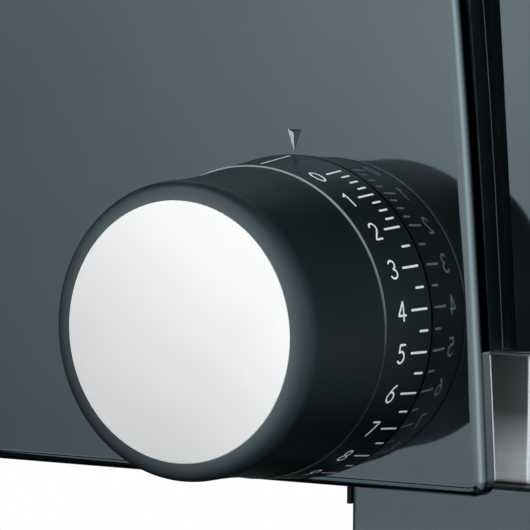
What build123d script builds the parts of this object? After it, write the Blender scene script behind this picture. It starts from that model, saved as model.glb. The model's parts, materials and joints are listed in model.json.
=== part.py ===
from build123d import *
from math import acos, cos, pi, sin, tan
import os

# Electric food slicer with a turned thickness knob on a hollow stop plate.
# X runs along the carriage's travel, Y from the knob side to the food side, Z up.
# Outlines and depths are measured from the knob's axis and the stop panel's front face:
# a depth grows towards the food side, so what stands towards the knob side is negative.

# Where the main pieces stand
axis_height = 85.0
blade_offset = 200.0
blade_rise = 66.0
blade_radius = 85.0
guard_gap = 3.0
foot_right = 75.0
handle_right = 80.0
tower_reach = 42.0
tower_near = 92.0
cover_depth = 16.0
cover_near = tower_near + cover_depth
table_far = 165.0
stop_travel = 21.46
running_gap = 0.3
shaft_gap = 0.05
overrun = 1.0

# Base plate, rubber feet and the two beam feet
rubber_height = 8.0
rubber_radius = 12.0
rubber_taper = 1.5
rubber_inset = 20.0
base_thickness = 6.0
base_near = 105.0
base_far = 110.0
base_corner = 18.0
base_edge = 2.0
foot_left = 4.0
foot_near = 15.0
foot_far = 100.0
foot_top = 32.5
foot_wall = 3.0
foot_edge = 1.5
left_foot_width = 44.0
left_foot_inset = 4.0
left_foot_near = 20.5
left_foot_far = 75.0
foot_screw_radius = 2.0
foot_screw_head_radius = 4.0
foot_screw_head = 2.5
foot_screw_inset = 14.0
foot_screw_near = 9.0

# Guide beam, its seat and its end caps
beam_near = 20.0
beam_depth = 48.0
beam_top = 6.6
beam_height = 25.1
beam_inset = 3.0
beam_right = 41.2
beam_wall = 3.0
beam_edge = 0.8
beam_inner_depth = 36.0
groove_neck = 4.0
groove_lip = 3.0
groove_height = 14.0
groove_depth = 5.0
cap_thickness = 1.2
cap_edge = 0.5
seat_lip = 0.9
seat_lip_height = 5.1
seat_right = 45.0

# Stop plate: front panel, spacer, face plate and the carrier behind the panel
panel_bottom = 32.4
panel_top = 118.0
panel_left = 120.0
panel_right = 43.0
panel_slant = 13.9
panel_bulge = 1.6
panel_side = 4.8
panel_wall = 2.2
panel_rim = 3.0
panel_edge = 2.2
panel_corner = 3.0
panel_top_corner = 10.0
panel_arc_gap = 7.0
marker_tip = 32.0
marker_height = 4.35
marker_width = 3.1
marker_hip = 0.65
marker_relief = 0.35
spacer_step_depth = 5.0
spacer_inset = 0.25
spacer_slant = 12.9
spacer_step = 1.15
spacer_step_slant = 12.1
spacer_wall = 3.0
notch_inset = 4.8
notch_wall = 1.9
face_near = 14.0
face_thickness = 3.0
face_left = 133.0
margin_gap = 3.1
margin_width = 11.9
margin_near = 6.2
margin_slant = 9.8
margin_bulge = 0.55
margin_edge = 0.5
face_bottom = 5.0
face_top = 122.0
face_corner = 10.0
face_arc_gap = 1.5
face_edge = 0.8
carrier_near = 10.9
carrier_thickness = 2.9
carrier_left = 50.0
carrier_inset = 6.7
carrier_top = 7.0
carrier_bottom = 27.9
carrier_corner = 3.0
screw_inset = 4.3
screw_radius = 1.5
screw_boss_radius = 4.0
screw_head_radius = 2.9
screw_head = 1.8
rod_radius = 5.0
rod_left = 28.0
rod_right = 23.5
rod_near = 5.0
rod_grip = 15.54
rod_boss_radius = 7.0
bush_wall = 2.0
bush_flange = 2.0
bush_flange_thickness = 1.2
bush_length = 18.0
nut_radius = 8.0

# Thickness knob: heights are measured from the panel towards the knob's front
knob_gap = 0.3
knob_base_radius = 31.43
knob_ring_radius = 30.0
knob_ring_height = 14.43
knob_ring_inner = 27.5
trim_thickness = 0.5
trim_proud = 0.12
grip_rear_radius = 29.9
grip_waist_radius = 28.66
grip_waist_height = 30.0
grip_front_radius = 28.57
grip_front_height = 37.3
grip_inner_radius = 26.0
grip_front_wall = 3.4
knob_length = 40.42
disc_radius = 24.91
disc_thickness = 1.2
disc_edge = 0.2
hub_radius = 9.0
shaft_radius = 4.0
shaft_setback = 4.42
shaft_front = knob_length - shaft_setback
shaft_far = 12.4
knob_bush_radius = 7.0
knob_bush_front = 13.5
knob_bush_flange = 10.0
knob_bush_flange_thickness = 1.2
clip_radius = 6.0
clip_thickness = 0.8
clip_mouth = 4.0
clip_depth = 10.5

# Gear that carries the knob's turn down to the lead screw
setting_module = 0.8
setting_teeth = 32
setting_pinion_teeth = 16
setting_near = 4.2
setting_width = 6.0
lead_near = 2.6
lead_chamfer = 0.8

# Blade, its carrier and its clamping hub
blade_face = 15.54
blade_thickness = 1.6
blade_bevel = 5.0
blade_edge = 0.25
blade_bore = 12.0
carrier_disc_radius = 30.0
carrier_disc_near = 9.5
carrier_hub_radius = 10.0
carrier_hub_near = 7.6
hub_cap_radius = 22.0
hub_cap_height = 1.8
hub_cap_edge = 1.2
hub_slot_length = 26.0
hub_slot_width = 3.0
hub_slot_depth = 1.0
spindle_radius = 6.0
spindle_near = 27.0
spindle_far = 13.0
guard_wall = 4.0
guard_far = 16.5
guard_edge = 1.2

# Drive tower: housing, back plate, motor cover
tower_far = 3.0
tower_wall = 3.0
tower_corner = 8.0
web_near = 27.0
web_thickness = 4.0
back_plate_thickness = 4.0
cover_wall = 3.0
cover_edge = 6.0
vent_count = 9
vent_pitch = 7.0
vent_width = 3.0
vent_height = 44.0
tower_screw_radius = 2.0
tower_screw_head_radius = 3.6
tower_screw_head = 1.6
tower_screw_inset = 8.0
tower_screw_rise = 60.0
tower_screw_length = 12.0
tower_boss_radius = 6.0
inlet_radius = 7.0
inlet_bore = 3.6
inlet_flange = 2.0
inlet_depth = 8.0
inlet_inset = 22.0
inlet_rise = 19.0

# Reduction gears between the motor and the blade
first_module = 1.0
first_teeth = 60
first_pinion_teeth = 12
second_module = 1.25
second_teeth = 56
second_pinion_teeth = 14
second_near = 10.0
second_width = 8.0
first_near = 21.0
first_width = 8.5
pressure_angle = 20.0
addendum_share = 0.8
dedendum_share = 1.1
tooth_backlash = 0.12
flank_steps = 3
counter_direction = 240.0
motor_direction = 253.0
counter_radius = 4.0
counter_far = 5.0
bearing_wall = 4.0
bearing_length = 4.0
counter_hub_radius = 7.0

# Motor
motor_radius = 34.0
stator_near = 76.0
stator_far = 36.0
stator_inner = 20.6
bell_wall = 3.0
bell_rim = 3.0
bell_far = 27.0
bell_near = 87.0
bell_boss_radius = 8.0
coil_inner = 22.0
coil_outer = 30.0
coil_near = 81.0
coil_far = 31.0
rotor_radius = 20.0
rotor_slots = 12
rotor_slot_width = 2.4
rotor_slot_depth = 5.0
motor_shaft_radius = 4.0
motor_shaft_near = 101.0
motor_shaft_far = 12.5
commutator_radius = 11.0
commutator_near = 83.5
commutator_far = 76.5
brush_width = 5.0
brush_far = 78.0
fan_radius = 30.0
fan_hub_radius = 8.0
fan_near = 100.0
fan_far = 89.0
fan_plate = 1.5
fan_blades = 9
fan_blade_thickness = 1.4
fan_blade_inner = 12.0

# Switches and the electrical parts in the tower
button_offset = 46.0
button_rise = 34.0
button_radius = 11.0
button_proud = 4.0
button_travel = 3.0
button_flange = 2.0
button_flange_thickness = 1.5
button_edge = 1.5
slider_rise = 34.0
slider_width = 14.0
slider_height = 10.0
slider_proud = 1.6
slider_travel = 8.0
slider_flange = 2.0
slider_flange_thickness = 1.5
slider_ridges = 4
slider_ridge_width = 1.0
slider_ridge_depth = 0.5
switch_inset = 24.0
switch_margin = 20.0
switch_height = 28.0
switch_depth = 9.5
switch_post_radius = 3.0
button_rest_gap = 1.0
board_inset = 24.0
board_width = 48.0
board_rise = 8.0
board_height = 42.0
board_thickness = 1.6
board_standoff = 3.0
board_standoff_radius = 3.0
board_standoff_inset = 5.0
capacitor_radius = 8.0
capacitor_length = 22.0
relay_width = 18.0
relay_depth = 14.0

# Carriage with its table, frame, shoes and food holder
table_left = 75.0
table_right = 56.0
table_near = 18.5
table_top = 4.0
table_thickness = 1.5
table_corner = 6.0
table_ribs = 6
table_rib_width = 3.0
table_rib_height = 0.6
table_rib_inset = 14.0
frame_left = 70.0
frame_right = 50.0
frame_near = 69.5
frame_far = 160.0
frame_bottom = 14.0
frame_wall = 3.0
frame_ribs = 3
skirt_bottom = 30.0
skirt_thickness = 3.5
shoe_gap = 0.4
shoe_near_left = 60.0
shoe_near_right = 25.0
shoe_far_left = 5.0
shoe_far_right = 38.0
wall_left = 50.0
wall_thickness = 3.0
wall_near = 22.0
wall_far = 160.0
wall_top = 70.0
wall_corner = 14.0
handle_near = 62.0
handle_far = 122.0
handle_low = 2.0
handle_high = 52.0
handle_edge = 8.0
holder_left = 62.0
holder_clear = 4.5
holder_thickness = 6.0
holder_bottom = 3.0
holder_top = 66.0
holder_corner = 10.0
holder_arm_height = 6.0
holder_arm_far = 12.0
holder_lip = 4.0
holder_lip_drop = 12.0
holder_travel = 124.0
spike_length = 4.5
spike_radius = 1.6
spike_columns = 5
spike_rows = 3
spike_pitch = 18.0
lock_x = 38.0
lock_depth = 88.0
lock_radius = 7.0
lock_thickness = 3.6
lock_arm = 24.0
lock_arm_width = 8.0
lock_pin_radius = 2.5
lock_pin_head = 4.0

# Places that follow from the sizes above
guard_radius = blade_radius + guard_gap + guard_wall
machine_left = blade_offset + guard_radius
tower_right = blade_offset - tower_reach
knob_x = (machine_left - handle_right) / 2
machine_near = cover_near + button_proud
panel_y = (machine_near - table_far) / 2
floor_level = -axis_height
base_low = floor_level + rubber_height
base_top = base_low + base_thickness
blade_x = -blade_offset
blade_z = blade_rise
setting_distance = setting_module * (setting_teeth + setting_pinion_teeth) / 2
lead_z = -setting_distance
second_distance = second_module * (second_teeth + second_pinion_teeth) / 2
first_distance = first_module * (first_teeth + first_pinion_teeth) / 2
degree = pi / 180
full_turn = 360.0
half_turn = 180.0
quarter_turn = 90.0
counter_x = blade_x + second_distance * cos(counter_direction * degree)
counter_z = blade_z + second_distance * sin(counter_direction * degree)
motor_x = counter_x + first_distance * cos(motor_direction * degree)
motor_z = counter_z + first_distance * sin(motor_direction * degree)
left_foot_left = -machine_left + left_foot_inset
left_foot_right = left_foot_left + left_foot_width
beam_left = -left_foot_left - beam_inset
beam_far = beam_near + beam_depth
beam_bottom = beam_top + beam_height
beam_middle = beam_top + beam_height / 2
rod_far = beam_near + stop_travel + rod_grip
lead_far = rod_far
lead_radius = shaft_radius
back_plate_far = tower_far + back_plate_thickness
panel_arc_radius = blade_radius + panel_arc_gap
margin_left = panel_right + margin_gap
face_right = margin_left + margin_width
notch_right = panel_right - notch_inset
carrier_right = panel_right - carrier_inset
inlet_left = machine_left - inlet_inset
inlet_low = -base_top - inlet_rise
button_left = blade_offset + button_offset
button_high = blade_rise + button_rise
slider_left = blade_offset
slider_high = blade_rise + slider_rise
switch_left = machine_left - switch_inset
switch_right = tower_right + switch_margin
switch_low = button_high - switch_height / 2
switch_high = button_high + switch_height / 2
switch_near = (cover_near - cover_wall - button_flange_thickness - button_travel
               - button_rest_gap)
switch_far = switch_near - switch_depth
board_left = machine_left - board_inset
board_right = board_left - board_width
board_low = blade_rise + board_rise
board_high = board_low + board_height
holder_near = (face_near + face_thickness + holder_clear + spike_length
               + holder_travel)


def front_plane(depth, x=0.0, z=0.0):
    """Upright plane at a depth: sketch X is right, sketch Y is up, normal to the knob side."""
    place = (knob_x + x, panel_y + depth, axis_height + z)
    return Plane(origin=place, x_dir=(1, 0, 0), z_dir=(0, -1, 0))


def turning_plane(x=0.0, z=0.0):
    """Level plane through a shaft: sketch X is the radius, sketch Y is the depth."""
    return Plane(origin=(knob_x + x, panel_y, axis_height + z), x_dir=(1, 0, 0), z_dir=(0, 0, 1))


def floor_plane(z):
    """Level plane at a height from the knob's axis: sketch X is right, sketch Y is the depth."""
    return Plane(origin=(knob_x, panel_y, axis_height + z), x_dir=(1, 0, 0), z_dir=(0, 0, 1))


def depth_axis(x=0.0, z=0.0):
    """The line along the depth through a point of the outline."""
    return Axis((knob_x + x, panel_y, axis_height + z), (0, 1, 0))


def block(left, right, near, far, low, high, mode=Mode.ADD):
    """A block between two sides, two depths and two heights."""
    middle = ((left + right) / 2, (near + far) / 2, (low + high) / 2)
    with Locations((knob_x + middle[0], panel_y + middle[1], axis_height + middle[2])):
        Box(right - left, far - near, high - low, mode=mode)


def bar(x, z, near, far, radius, mode=Mode.ADD):
    """A round bar along the depth."""
    with Locations((knob_x + x, panel_y + (near + far) / 2, axis_height + z)):
        Cylinder(radius, far - near, rotation=(quarter_turn, 0, 0), mode=mode)


def post(x, depth, low, high, radius, mode=Mode.ADD):
    """An upright round post."""
    with Locations((knob_x + x, panel_y + depth, axis_height + (low + high) / 2)):
        Cylinder(radius, high - low, mode=mode)


def turned(points, x=0.0, z=0.0, mode=Mode.ADD):
    """A turned solid from points of radius and depth."""
    with BuildSketch(turning_plane(x, z)) as section:
        Polygon(*points, align=None)
    revolve(section.sketch, axis=depth_axis(x, z), mode=mode)


def involute(angle):
    """The involute function of a pressure angle in radians."""
    return tan(angle) - angle


def gear_points(teeth, module, turn):
    """Points of a spur gear's outline, with involute flanks and one tooth centred at turn."""
    pitch_radius = module * teeth / 2
    base_radius = pitch_radius * cos(pressure_angle * degree)
    tip_radius = pitch_radius + addendum_share * module
    root_radius = pitch_radius - dedendum_share * module
    start_radius = max(base_radius, root_radius)
    half_pitch = pi / (2 * teeth) - tooth_backlash / (2 * pitch_radius)
    flank = []
    for step in range(flank_steps + 1):
        radius = start_radius + (tip_radius - start_radius) * step / flank_steps
        lean = involute(pressure_angle * degree) - involute(acos(min(1.0, base_radius / radius)))
        flank.append((radius, half_pitch + lean))
    if root_radius < start_radius:
        flank.insert(0, (root_radius, flank[0][1]))
    points = []
    for tooth in range(teeth):
        middle = (turn + full_turn * tooth / teeth) * degree
        rising = [(radius, middle - half) for radius, half in flank]
        falling = [(radius, middle + half) for radius, half in reversed(flank)]
        points += [(radius * cos(angle), radius * sin(angle)) for radius, angle in rising + falling]
    return points


def gear(teeth, module, turn, near, width, x, z, bore):
    """A spur gear on a shaft along the depth."""
    with BuildSketch(front_plane(near + width, x, z)) as section:
        Polygon(*gear_points(teeth, module, turn), align=None)
        Circle(bore, mode=Mode.SUBTRACT)
    extrude(section.sketch, amount=width)


def panel_outline(inset=0.0, slant=panel_slant):
    """The stop panel's outline on the current sketch, drawn in by an inset: the right side is a
    shallow arc that leans in by the slant on its way up."""
    lean = slant * inset / (panel_top + panel_bottom)
    low_left = (-panel_left + inset, -panel_bottom + inset)
    high_left = (-panel_left + inset, panel_top - inset)
    low_right = (panel_right - inset - lean, -panel_bottom + inset)
    high_right = (panel_right - slant - inset + lean, panel_top - inset)
    middle = ((low_right[0] + high_right[0]) / 2 + panel_bulge, (low_right[1] + high_right[1]) / 2)
    with BuildLine() as edge:
        Polyline(high_right, high_left, low_left, low_right)
        ThreePointArc(low_right, middle, high_right)
    make_face(edge.edges())
    with Locations((blade_x, blade_z)):
        Circle(panel_arc_radius + inset, mode=Mode.SUBTRACT)


def round_right_corners(shape, inset=0.0):
    """Rounds a panel outline's upper and lower right corners, less by its inset."""
    high = shape.vertices().group_by(Axis.Y)[-1].sort_by(Axis.X)[-1]
    fillet(high, panel_top_corner - inset)
    if panel_corner > inset:
        low = shape.vertices().group_by(Axis.Y)[0].sort_by(Axis.X)[-1]
        fillet(low, panel_corner - inset)


def tower_outline(inset=0.0):
    """The tower's outline on the current sketch: a round head over a straight column."""
    with Locations((blade_x, blade_z)):
        Circle(guard_radius - inset)
    left = -machine_left + inset
    with Locations(((left + blade_x) / 2, (base_top + inset + blade_z) / 2)):
        Rectangle(blade_x - left, blade_z - base_top - inset)
    with Locations(((blade_x - tower_right - inset) / 2, (base_top + inset + blade_z) / 2)):
        Rectangle(-tower_right - inset - blade_x, blade_z - base_top - inset)
    with Locations((-tower_right - inset + guard_radius / 2, blade_z)):
        Rectangle(guard_radius, 2 * (guard_radius + overrun), mode=Mode.SUBTRACT)


def tower_screw_places():
    """Where the tower's screws stand, in its four corners."""
    left = -machine_left + tower_screw_inset
    right = -tower_right - tower_screw_inset
    low = base_top + tower_screw_inset
    return [(left, low), (right, low), (left, blade_z), (right, blade_z + tower_screw_rise)]


def carrier_screw_places():
    """Where the carrier is screwed to the panel."""
    return [(x, z) for x in (-carrier_left + screw_inset, carrier_right - screw_inset)
            for z in (-carrier_bottom + screw_inset, -carrier_top - screw_inset)]


def foot_screw_places():
    """Where screws hold the beam down on its two feet."""
    left = -beam_left + foot_screw_inset
    right = beam_right - foot_screw_inset
    depths = (beam_near + foot_screw_near, beam_near + beam_inner_depth - foot_screw_near)
    return [(x, depth) for x in (left, right) for depth in depths]


# Base plate, a flat casting with rounded corners
with BuildPart() as base_plate:
    with BuildSketch(floor_plane(base_low)):
        with Locations(((foot_right - machine_left) / 2, (base_far - base_near) / 2)):
            RectangleRounded(foot_right + machine_left, base_far + base_near, base_corner)
    extrude(amount=base_thickness)
    fillet(base_plate.faces().sort_by(Axis.Z)[-1].edges(), base_edge)
base_plate.part.label = "base_plate"

# Four rubber feet
with BuildPart() as rubber_feet:
    for foot_x in (-machine_left + rubber_inset, foot_right - rubber_inset):
        for foot_depth in (-base_near + rubber_inset, base_far - rubber_inset):
            with BuildSketch(floor_plane(base_low)) as foot_top_round:
                with Locations((foot_x, foot_depth)):
                    Circle(rubber_radius)
            with BuildSketch(floor_plane(floor_level)) as foot_low_round:
                with Locations((foot_x, foot_depth)):
                    Circle(rubber_radius - rubber_taper)
            loft([foot_low_round.sketch, foot_top_round.sketch])
rubber_feet.part.label = "rubber_feet"

# Right foot: a hollow block that carries the beam under the stop plate
with BuildPart() as base_foot:
    block(foot_left, foot_right, foot_near, foot_far, base_top, -foot_top)
    upright_edges = base_foot.edges().filter_by(Axis.Z)
    fillet(upright_edges, foot_edge)
    block(foot_left + foot_wall, foot_right - foot_wall, foot_near + foot_wall,
          foot_far - foot_wall, base_top, -foot_top - foot_wall, mode=Mode.SUBTRACT)
    for screw_x, screw_depth in foot_screw_places():
        if screw_x > foot_left:
            post(screw_x, screw_depth, -foot_top - foot_wall - overrun, -foot_top + overrun,
                 foot_screw_radius + shaft_gap, mode=Mode.SUBTRACT)
base_foot.part.label = "base_foot"

# Left foot: the same kind of block under the beam's other end
with BuildPart() as left_foot:
    block(left_foot_left, left_foot_right, left_foot_near, left_foot_far, base_top, -beam_bottom)
    fillet(left_foot.edges().filter_by(Axis.Z), foot_edge)
    block(left_foot_left + foot_wall, left_foot_right - foot_wall, left_foot_near + foot_wall,
          left_foot_far - foot_wall, base_top, -beam_bottom - foot_wall, mode=Mode.SUBTRACT)
    for screw_x, screw_depth in foot_screw_places():
        if screw_x < foot_left:
            post(screw_x, screw_depth, -beam_bottom - foot_wall - overrun, -beam_bottom + overrun,
                 foot_screw_radius + shaft_gap, mode=Mode.SUBTRACT)
left_foot.part.label = "left_foot"

# Black seat between the right foot and the beam, with a lip down the foot's side
with BuildPart() as beam_seat:
    block(foot_left - seat_lip, seat_right, foot_near + running_gap, beam_far,
          -foot_top, -beam_bottom)
    block(foot_left - seat_lip, foot_left, foot_near + running_gap, beam_far,
          -foot_top - seat_lip_height, -foot_top)
    for screw_x, screw_depth in foot_screw_places():
        if screw_x > foot_left:
            post(screw_x, screw_depth, -foot_top - overrun, -beam_bottom + overrun,
                 foot_screw_radius + shaft_gap, mode=Mode.SUBTRACT)
beam_seat.part.label = "beam_seat"

# Guide beam: a hollow bar with a T-groove along its food side
groove_far = beam_far - groove_lip
groove_near = groove_far - groove_depth
inner_far = beam_near + beam_wall + beam_inner_depth
with BuildPart() as guide_beam:
    block(-beam_left + cap_thickness, beam_right - cap_thickness, beam_near, beam_far,
          -beam_bottom, -beam_top)
    fillet(guide_beam.edges().filter_by(Axis.X), beam_edge)
    block(-beam_left, beam_right, beam_near + beam_wall, inner_far,
          -beam_bottom + beam_wall, -beam_top - beam_wall, mode=Mode.SUBTRACT)
    block(-beam_left, beam_right, groove_near, groove_far,
          -beam_middle - groove_height / 2, -beam_middle + groove_height / 2, mode=Mode.SUBTRACT)
    block(-beam_left, beam_right, groove_far, beam_far + overrun,
          -beam_middle - groove_neck / 2, -beam_middle + groove_neck / 2, mode=Mode.SUBTRACT)
    for rod_x in (-rod_left, rod_right):
        bar(rod_x, lead_z, beam_near - overrun, beam_near + beam_wall + overrun,
            rod_radius + bush_wall + shaft_gap, mode=Mode.SUBTRACT)
    bar(0.0, lead_z, beam_near - overrun, beam_near + beam_wall + overrun,
        nut_radius + shaft_gap, mode=Mode.SUBTRACT)
    for screw_x, screw_depth in foot_screw_places():
        post(screw_x, screw_depth, -beam_bottom - overrun, -beam_bottom + beam_wall + overrun,
             foot_screw_radius + shaft_gap, mode=Mode.SUBTRACT)
guide_beam.part.label = "guide_beam"

# End caps that close the beam's two ends
with BuildPart() as beam_caps:
    for cap_left, cap_right in ((-beam_left, -beam_left + cap_thickness),
                                (beam_right - cap_thickness, beam_right)):
        block(cap_left, cap_right, beam_near, beam_far, -beam_bottom, -beam_top)
    fillet(beam_caps.edges().filter_by(Axis.X), beam_edge)
    for end in (0, -1):
        fillet(beam_caps.faces().filter_by(Axis.X).sort_by(Axis.X)[end].edges(), cap_edge)
beam_caps.part.label = "beam_caps"

# Screws that hold the beam down on its feet
with BuildPart() as beam_screws:
    for screw_x, screw_depth in foot_screw_places():
        under = -foot_top - foot_wall if screw_x > foot_left else -beam_bottom - foot_wall
        post(screw_x, screw_depth, under - foot_screw_head, under, foot_screw_head_radius)
        post(screw_x, screw_depth, under, -beam_bottom + beam_wall, foot_screw_radius)
beam_screws.part.label = "beam_screws"

# Flanged bushes in the beam that guide the two rods
with BuildPart() as guide_bushes:
    for rod_x in (-rod_left, rod_right):
        flange_near = beam_near - bush_flange_thickness
        bar(rod_x, lead_z, flange_near, beam_near, rod_radius + bush_wall + bush_flange)
        bar(rod_x, lead_z, beam_near, beam_near + bush_length, rod_radius + bush_wall)
        bar(rod_x, lead_z, flange_near - overrun, beam_near + bush_length + overrun,
            rod_radius + shaft_gap, mode=Mode.SUBTRACT)
guide_bushes.part.label = "guide_bushes"

# Nut in the beam that the lead screw turns in
with BuildPart() as spindle_nut:
    nut_near = beam_near - bush_flange_thickness
    bar(0.0, lead_z, nut_near, beam_near, nut_radius + bush_flange)
    bar(0.0, lead_z, beam_near, beam_near + bush_length, nut_radius)
    bar(0.0, lead_z, nut_near - overrun, beam_near + bush_length + overrun,
        lead_radius + shaft_gap, mode=Mode.SUBTRACT)
spindle_nut.part.label = "spindle_nut"

# Front panel of the stop plate: a shallow shell with a rounded front edge
with BuildPart() as stop_panel:
    with BuildSketch(front_plane(panel_side)) as panel_shape:
        panel_outline()
        round_right_corners(panel_shape)
    extrude(amount=panel_side)
    fillet(stop_panel.faces().sort_by(Axis.Y)[0].outer_wire().edges(), panel_edge)
    with BuildSketch(front_plane(panel_side)) as hollow_shape:
        panel_outline(panel_rim)
        round_right_corners(hollow_shape, panel_rim)
    extrude(amount=panel_side - panel_wall, mode=Mode.SUBTRACT)
    for screw_x, screw_z in carrier_screw_places():
        bar(screw_x, screw_z, panel_wall, carrier_near, screw_boss_radius)
        bar(screw_x, screw_z, panel_wall, carrier_near + overrun, screw_radius + shaft_gap,
            mode=Mode.SUBTRACT)
    for rod_x in (-rod_left, rod_right):
        bar(rod_x, lead_z, panel_wall, rod_near, rod_boss_radius)
    bar(0.0, 0.0, -overrun, panel_side, knob_bush_radius + shaft_gap, mode=Mode.SUBTRACT)
    # The pointer over the scale: a low pyramid whose ridge runs down to its tip
    marker_top = marker_tip + marker_height
    with BuildSketch(front_plane(0.0), mode=Mode.PRIVATE) as marker_base:
        Polygon((0.0, marker_tip), (-marker_width / 2, marker_top), (marker_width / 2, marker_top),
                align=None)
    marker_peak = Vertex(knob_x, panel_y - marker_relief, axis_height + marker_top - marker_hip)
    loft(sections=[marker_base.sketch.face(), marker_peak], ruled=True)
stop_panel.part.label = "stop_panel"

# Black spacer between the panel and the face plate, in two steps
with BuildPart() as spacer_frame:
    step_depth = panel_side + spacer_step_depth
    with BuildSketch(front_plane(step_depth)) as step_shape:
        panel_outline(spacer_inset, spacer_slant)
        round_right_corners(step_shape, spacer_inset)
    extrude(amount=spacer_step_depth)
    with BuildSketch(front_plane(face_near)) as neck_shape:
        panel_outline(spacer_inset + spacer_step, spacer_step_slant)
        round_right_corners(neck_shape, spacer_inset + spacer_step)
    extrude(amount=face_near - step_depth)
    spacer_hollow = spacer_inset + spacer_step + spacer_wall
    with BuildSketch(front_plane(face_near + overrun)) as spacer_hollow_shape:
        panel_outline(spacer_hollow)
        round_right_corners(spacer_hollow_shape, spacer_hollow)
    extrude(amount=face_near - panel_side + 2 * overrun, mode=Mode.SUBTRACT)
    # Below the face plate the right wall is drawn in, so that the beam's end shows beside the panel
    notch_low = -panel_bottom + spacer_inset + spacer_step
    notch_far = carrier_near - running_gap
    block(notch_right, panel_right + overrun, panel_side - overrun, face_near + overrun,
          -panel_bottom - overrun, -face_bottom, mode=Mode.SUBTRACT)
    block(carrier_right, panel_right + overrun, notch_far, face_near + overrun,
          -panel_bottom - overrun, -face_bottom, mode=Mode.SUBTRACT)
    block(notch_right - notch_wall, notch_right, panel_side, notch_far, notch_low, -face_bottom)
    block(notch_right - notch_wall, panel_right - spacer_hollow + overrun, panel_side, face_near,
          -face_bottom, -face_bottom + notch_wall)
spacer_frame.part.label = "spacer_frame"

# Face plate: the wide plate that the food slides along, cut round the blade
with BuildPart() as stop_face:
    with BuildSketch(front_plane(face_near + face_thickness)) as face_shape:
        with Locations(((face_right - face_left) / 2, (face_top - face_bottom) / 2)):
            Rectangle(face_right + face_left, face_top + face_bottom)
        fillet(face_shape.vertices().group_by(Axis.X)[-1], face_corner)
        with Locations((blade_x, blade_z)):
            Circle(blade_radius + face_arc_gap, mode=Mode.SUBTRACT)
    extrude(amount=face_thickness)
    fillet(stop_face.faces().sort_by(Axis.Y)[-1].outer_wire().edges(), face_edge)
    # The margin beside the knob's panel stands forward, with an edge that follows the panel's
    with BuildSketch(front_plane(face_near)) as margin_shape:
        margin_high = margin_left - margin_slant
        margin_middle = margin_left - margin_slant / 2 + margin_bulge
        with BuildLine() as margin_line:
            ThreePointArc((margin_left, -face_bottom), (margin_middle, (face_top - face_bottom) / 2),
                          (margin_high, face_top))
            Polyline((margin_high, face_top), (face_right, face_top), (face_right, -face_bottom),
                     (margin_left, -face_bottom))
        make_face(margin_line.edges())
        fillet(margin_shape.vertices().group_by(Axis.X)[-1], face_corner)
    extrude(amount=face_near - margin_near)
    fillet(stop_face.faces().sort_by(Axis.Y)[0].outer_wire().edges(), margin_edge)
stop_face.part.label = "stop_face"

# Carrier plate behind the panel's lower part, which holds the rods and the lead screw
with BuildPart() as carrier:
    with BuildSketch(front_plane(carrier_near + carrier_thickness)):
        with Locations(((carrier_right - carrier_left) / 2, -(carrier_top + carrier_bottom) / 2)):
            RectangleRounded(carrier_right + carrier_left, carrier_bottom - carrier_top,
                             carrier_corner)
        with Locations((-rod_left, lead_z), (rod_right, lead_z)):
            Circle(rod_radius + shaft_gap, mode=Mode.SUBTRACT)
        with Locations((0.0, lead_z)):
            Circle(lead_radius + shaft_gap, mode=Mode.SUBTRACT)
        with Locations(*carrier_screw_places()):
            Circle(screw_radius + shaft_gap, mode=Mode.SUBTRACT)
    extrude(amount=carrier_thickness)
carrier.part.label = "carrier"

# Screws that hold the carrier on the panel's bosses
with BuildPart() as carrier_screws:
    carrier_far = carrier_near + carrier_thickness
    for screw_x, screw_z in carrier_screw_places():
        bar(screw_x, screw_z, panel_wall, carrier_far, screw_radius)
        bar(screw_x, screw_z, carrier_far, carrier_far + screw_head, screw_head_radius)
carrier_screws.part.label = "carrier_screws"

# Two steel rods that the stop plate slides on
with BuildPart() as guide_rods:
    for rod_x in (-rod_left, rod_right):
        bar(rod_x, lead_z, rod_near, rod_far, rod_radius)
guide_rods.part.label = "guide_rods"

# Long flanged bush that the knob's shaft turns in
with BuildPart() as knob_bush:
    bar(0.0, 0.0, -knob_bush_front, panel_wall, knob_bush_radius)
    bar(0.0, 0.0, panel_wall, panel_wall + knob_bush_flange_thickness, knob_bush_flange)
    bar(0.0, 0.0, -knob_bush_front - overrun, panel_wall + knob_bush_flange,
        shaft_radius + shaft_gap, mode=Mode.SUBTRACT)
knob_bush.part.label = "knob_bush"

# Knob: the ring with the scale, next to the panel
ring_slope = (knob_base_radius - knob_ring_radius) / knob_ring_height
with BuildPart() as scale_ring:
    turned([(knob_ring_inner, -knob_gap), (knob_base_radius - ring_slope * knob_gap, -knob_gap),
            (knob_ring_radius, -knob_ring_height), (knob_ring_inner, -knob_ring_height)])
scale_ring.part.label = "scale_ring"

# Knob: thin pale ring between the scale and the grip
trim_top = knob_ring_height + trim_thickness
with BuildPart() as trim_ring:
    turned([(knob_ring_inner, -knob_ring_height), (knob_ring_radius + trim_proud, -knob_ring_height),
            (knob_ring_radius + trim_proud, -trim_top), (knob_ring_inner, -trim_top)])
trim_ring.part.label = "trim_ring"

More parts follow.
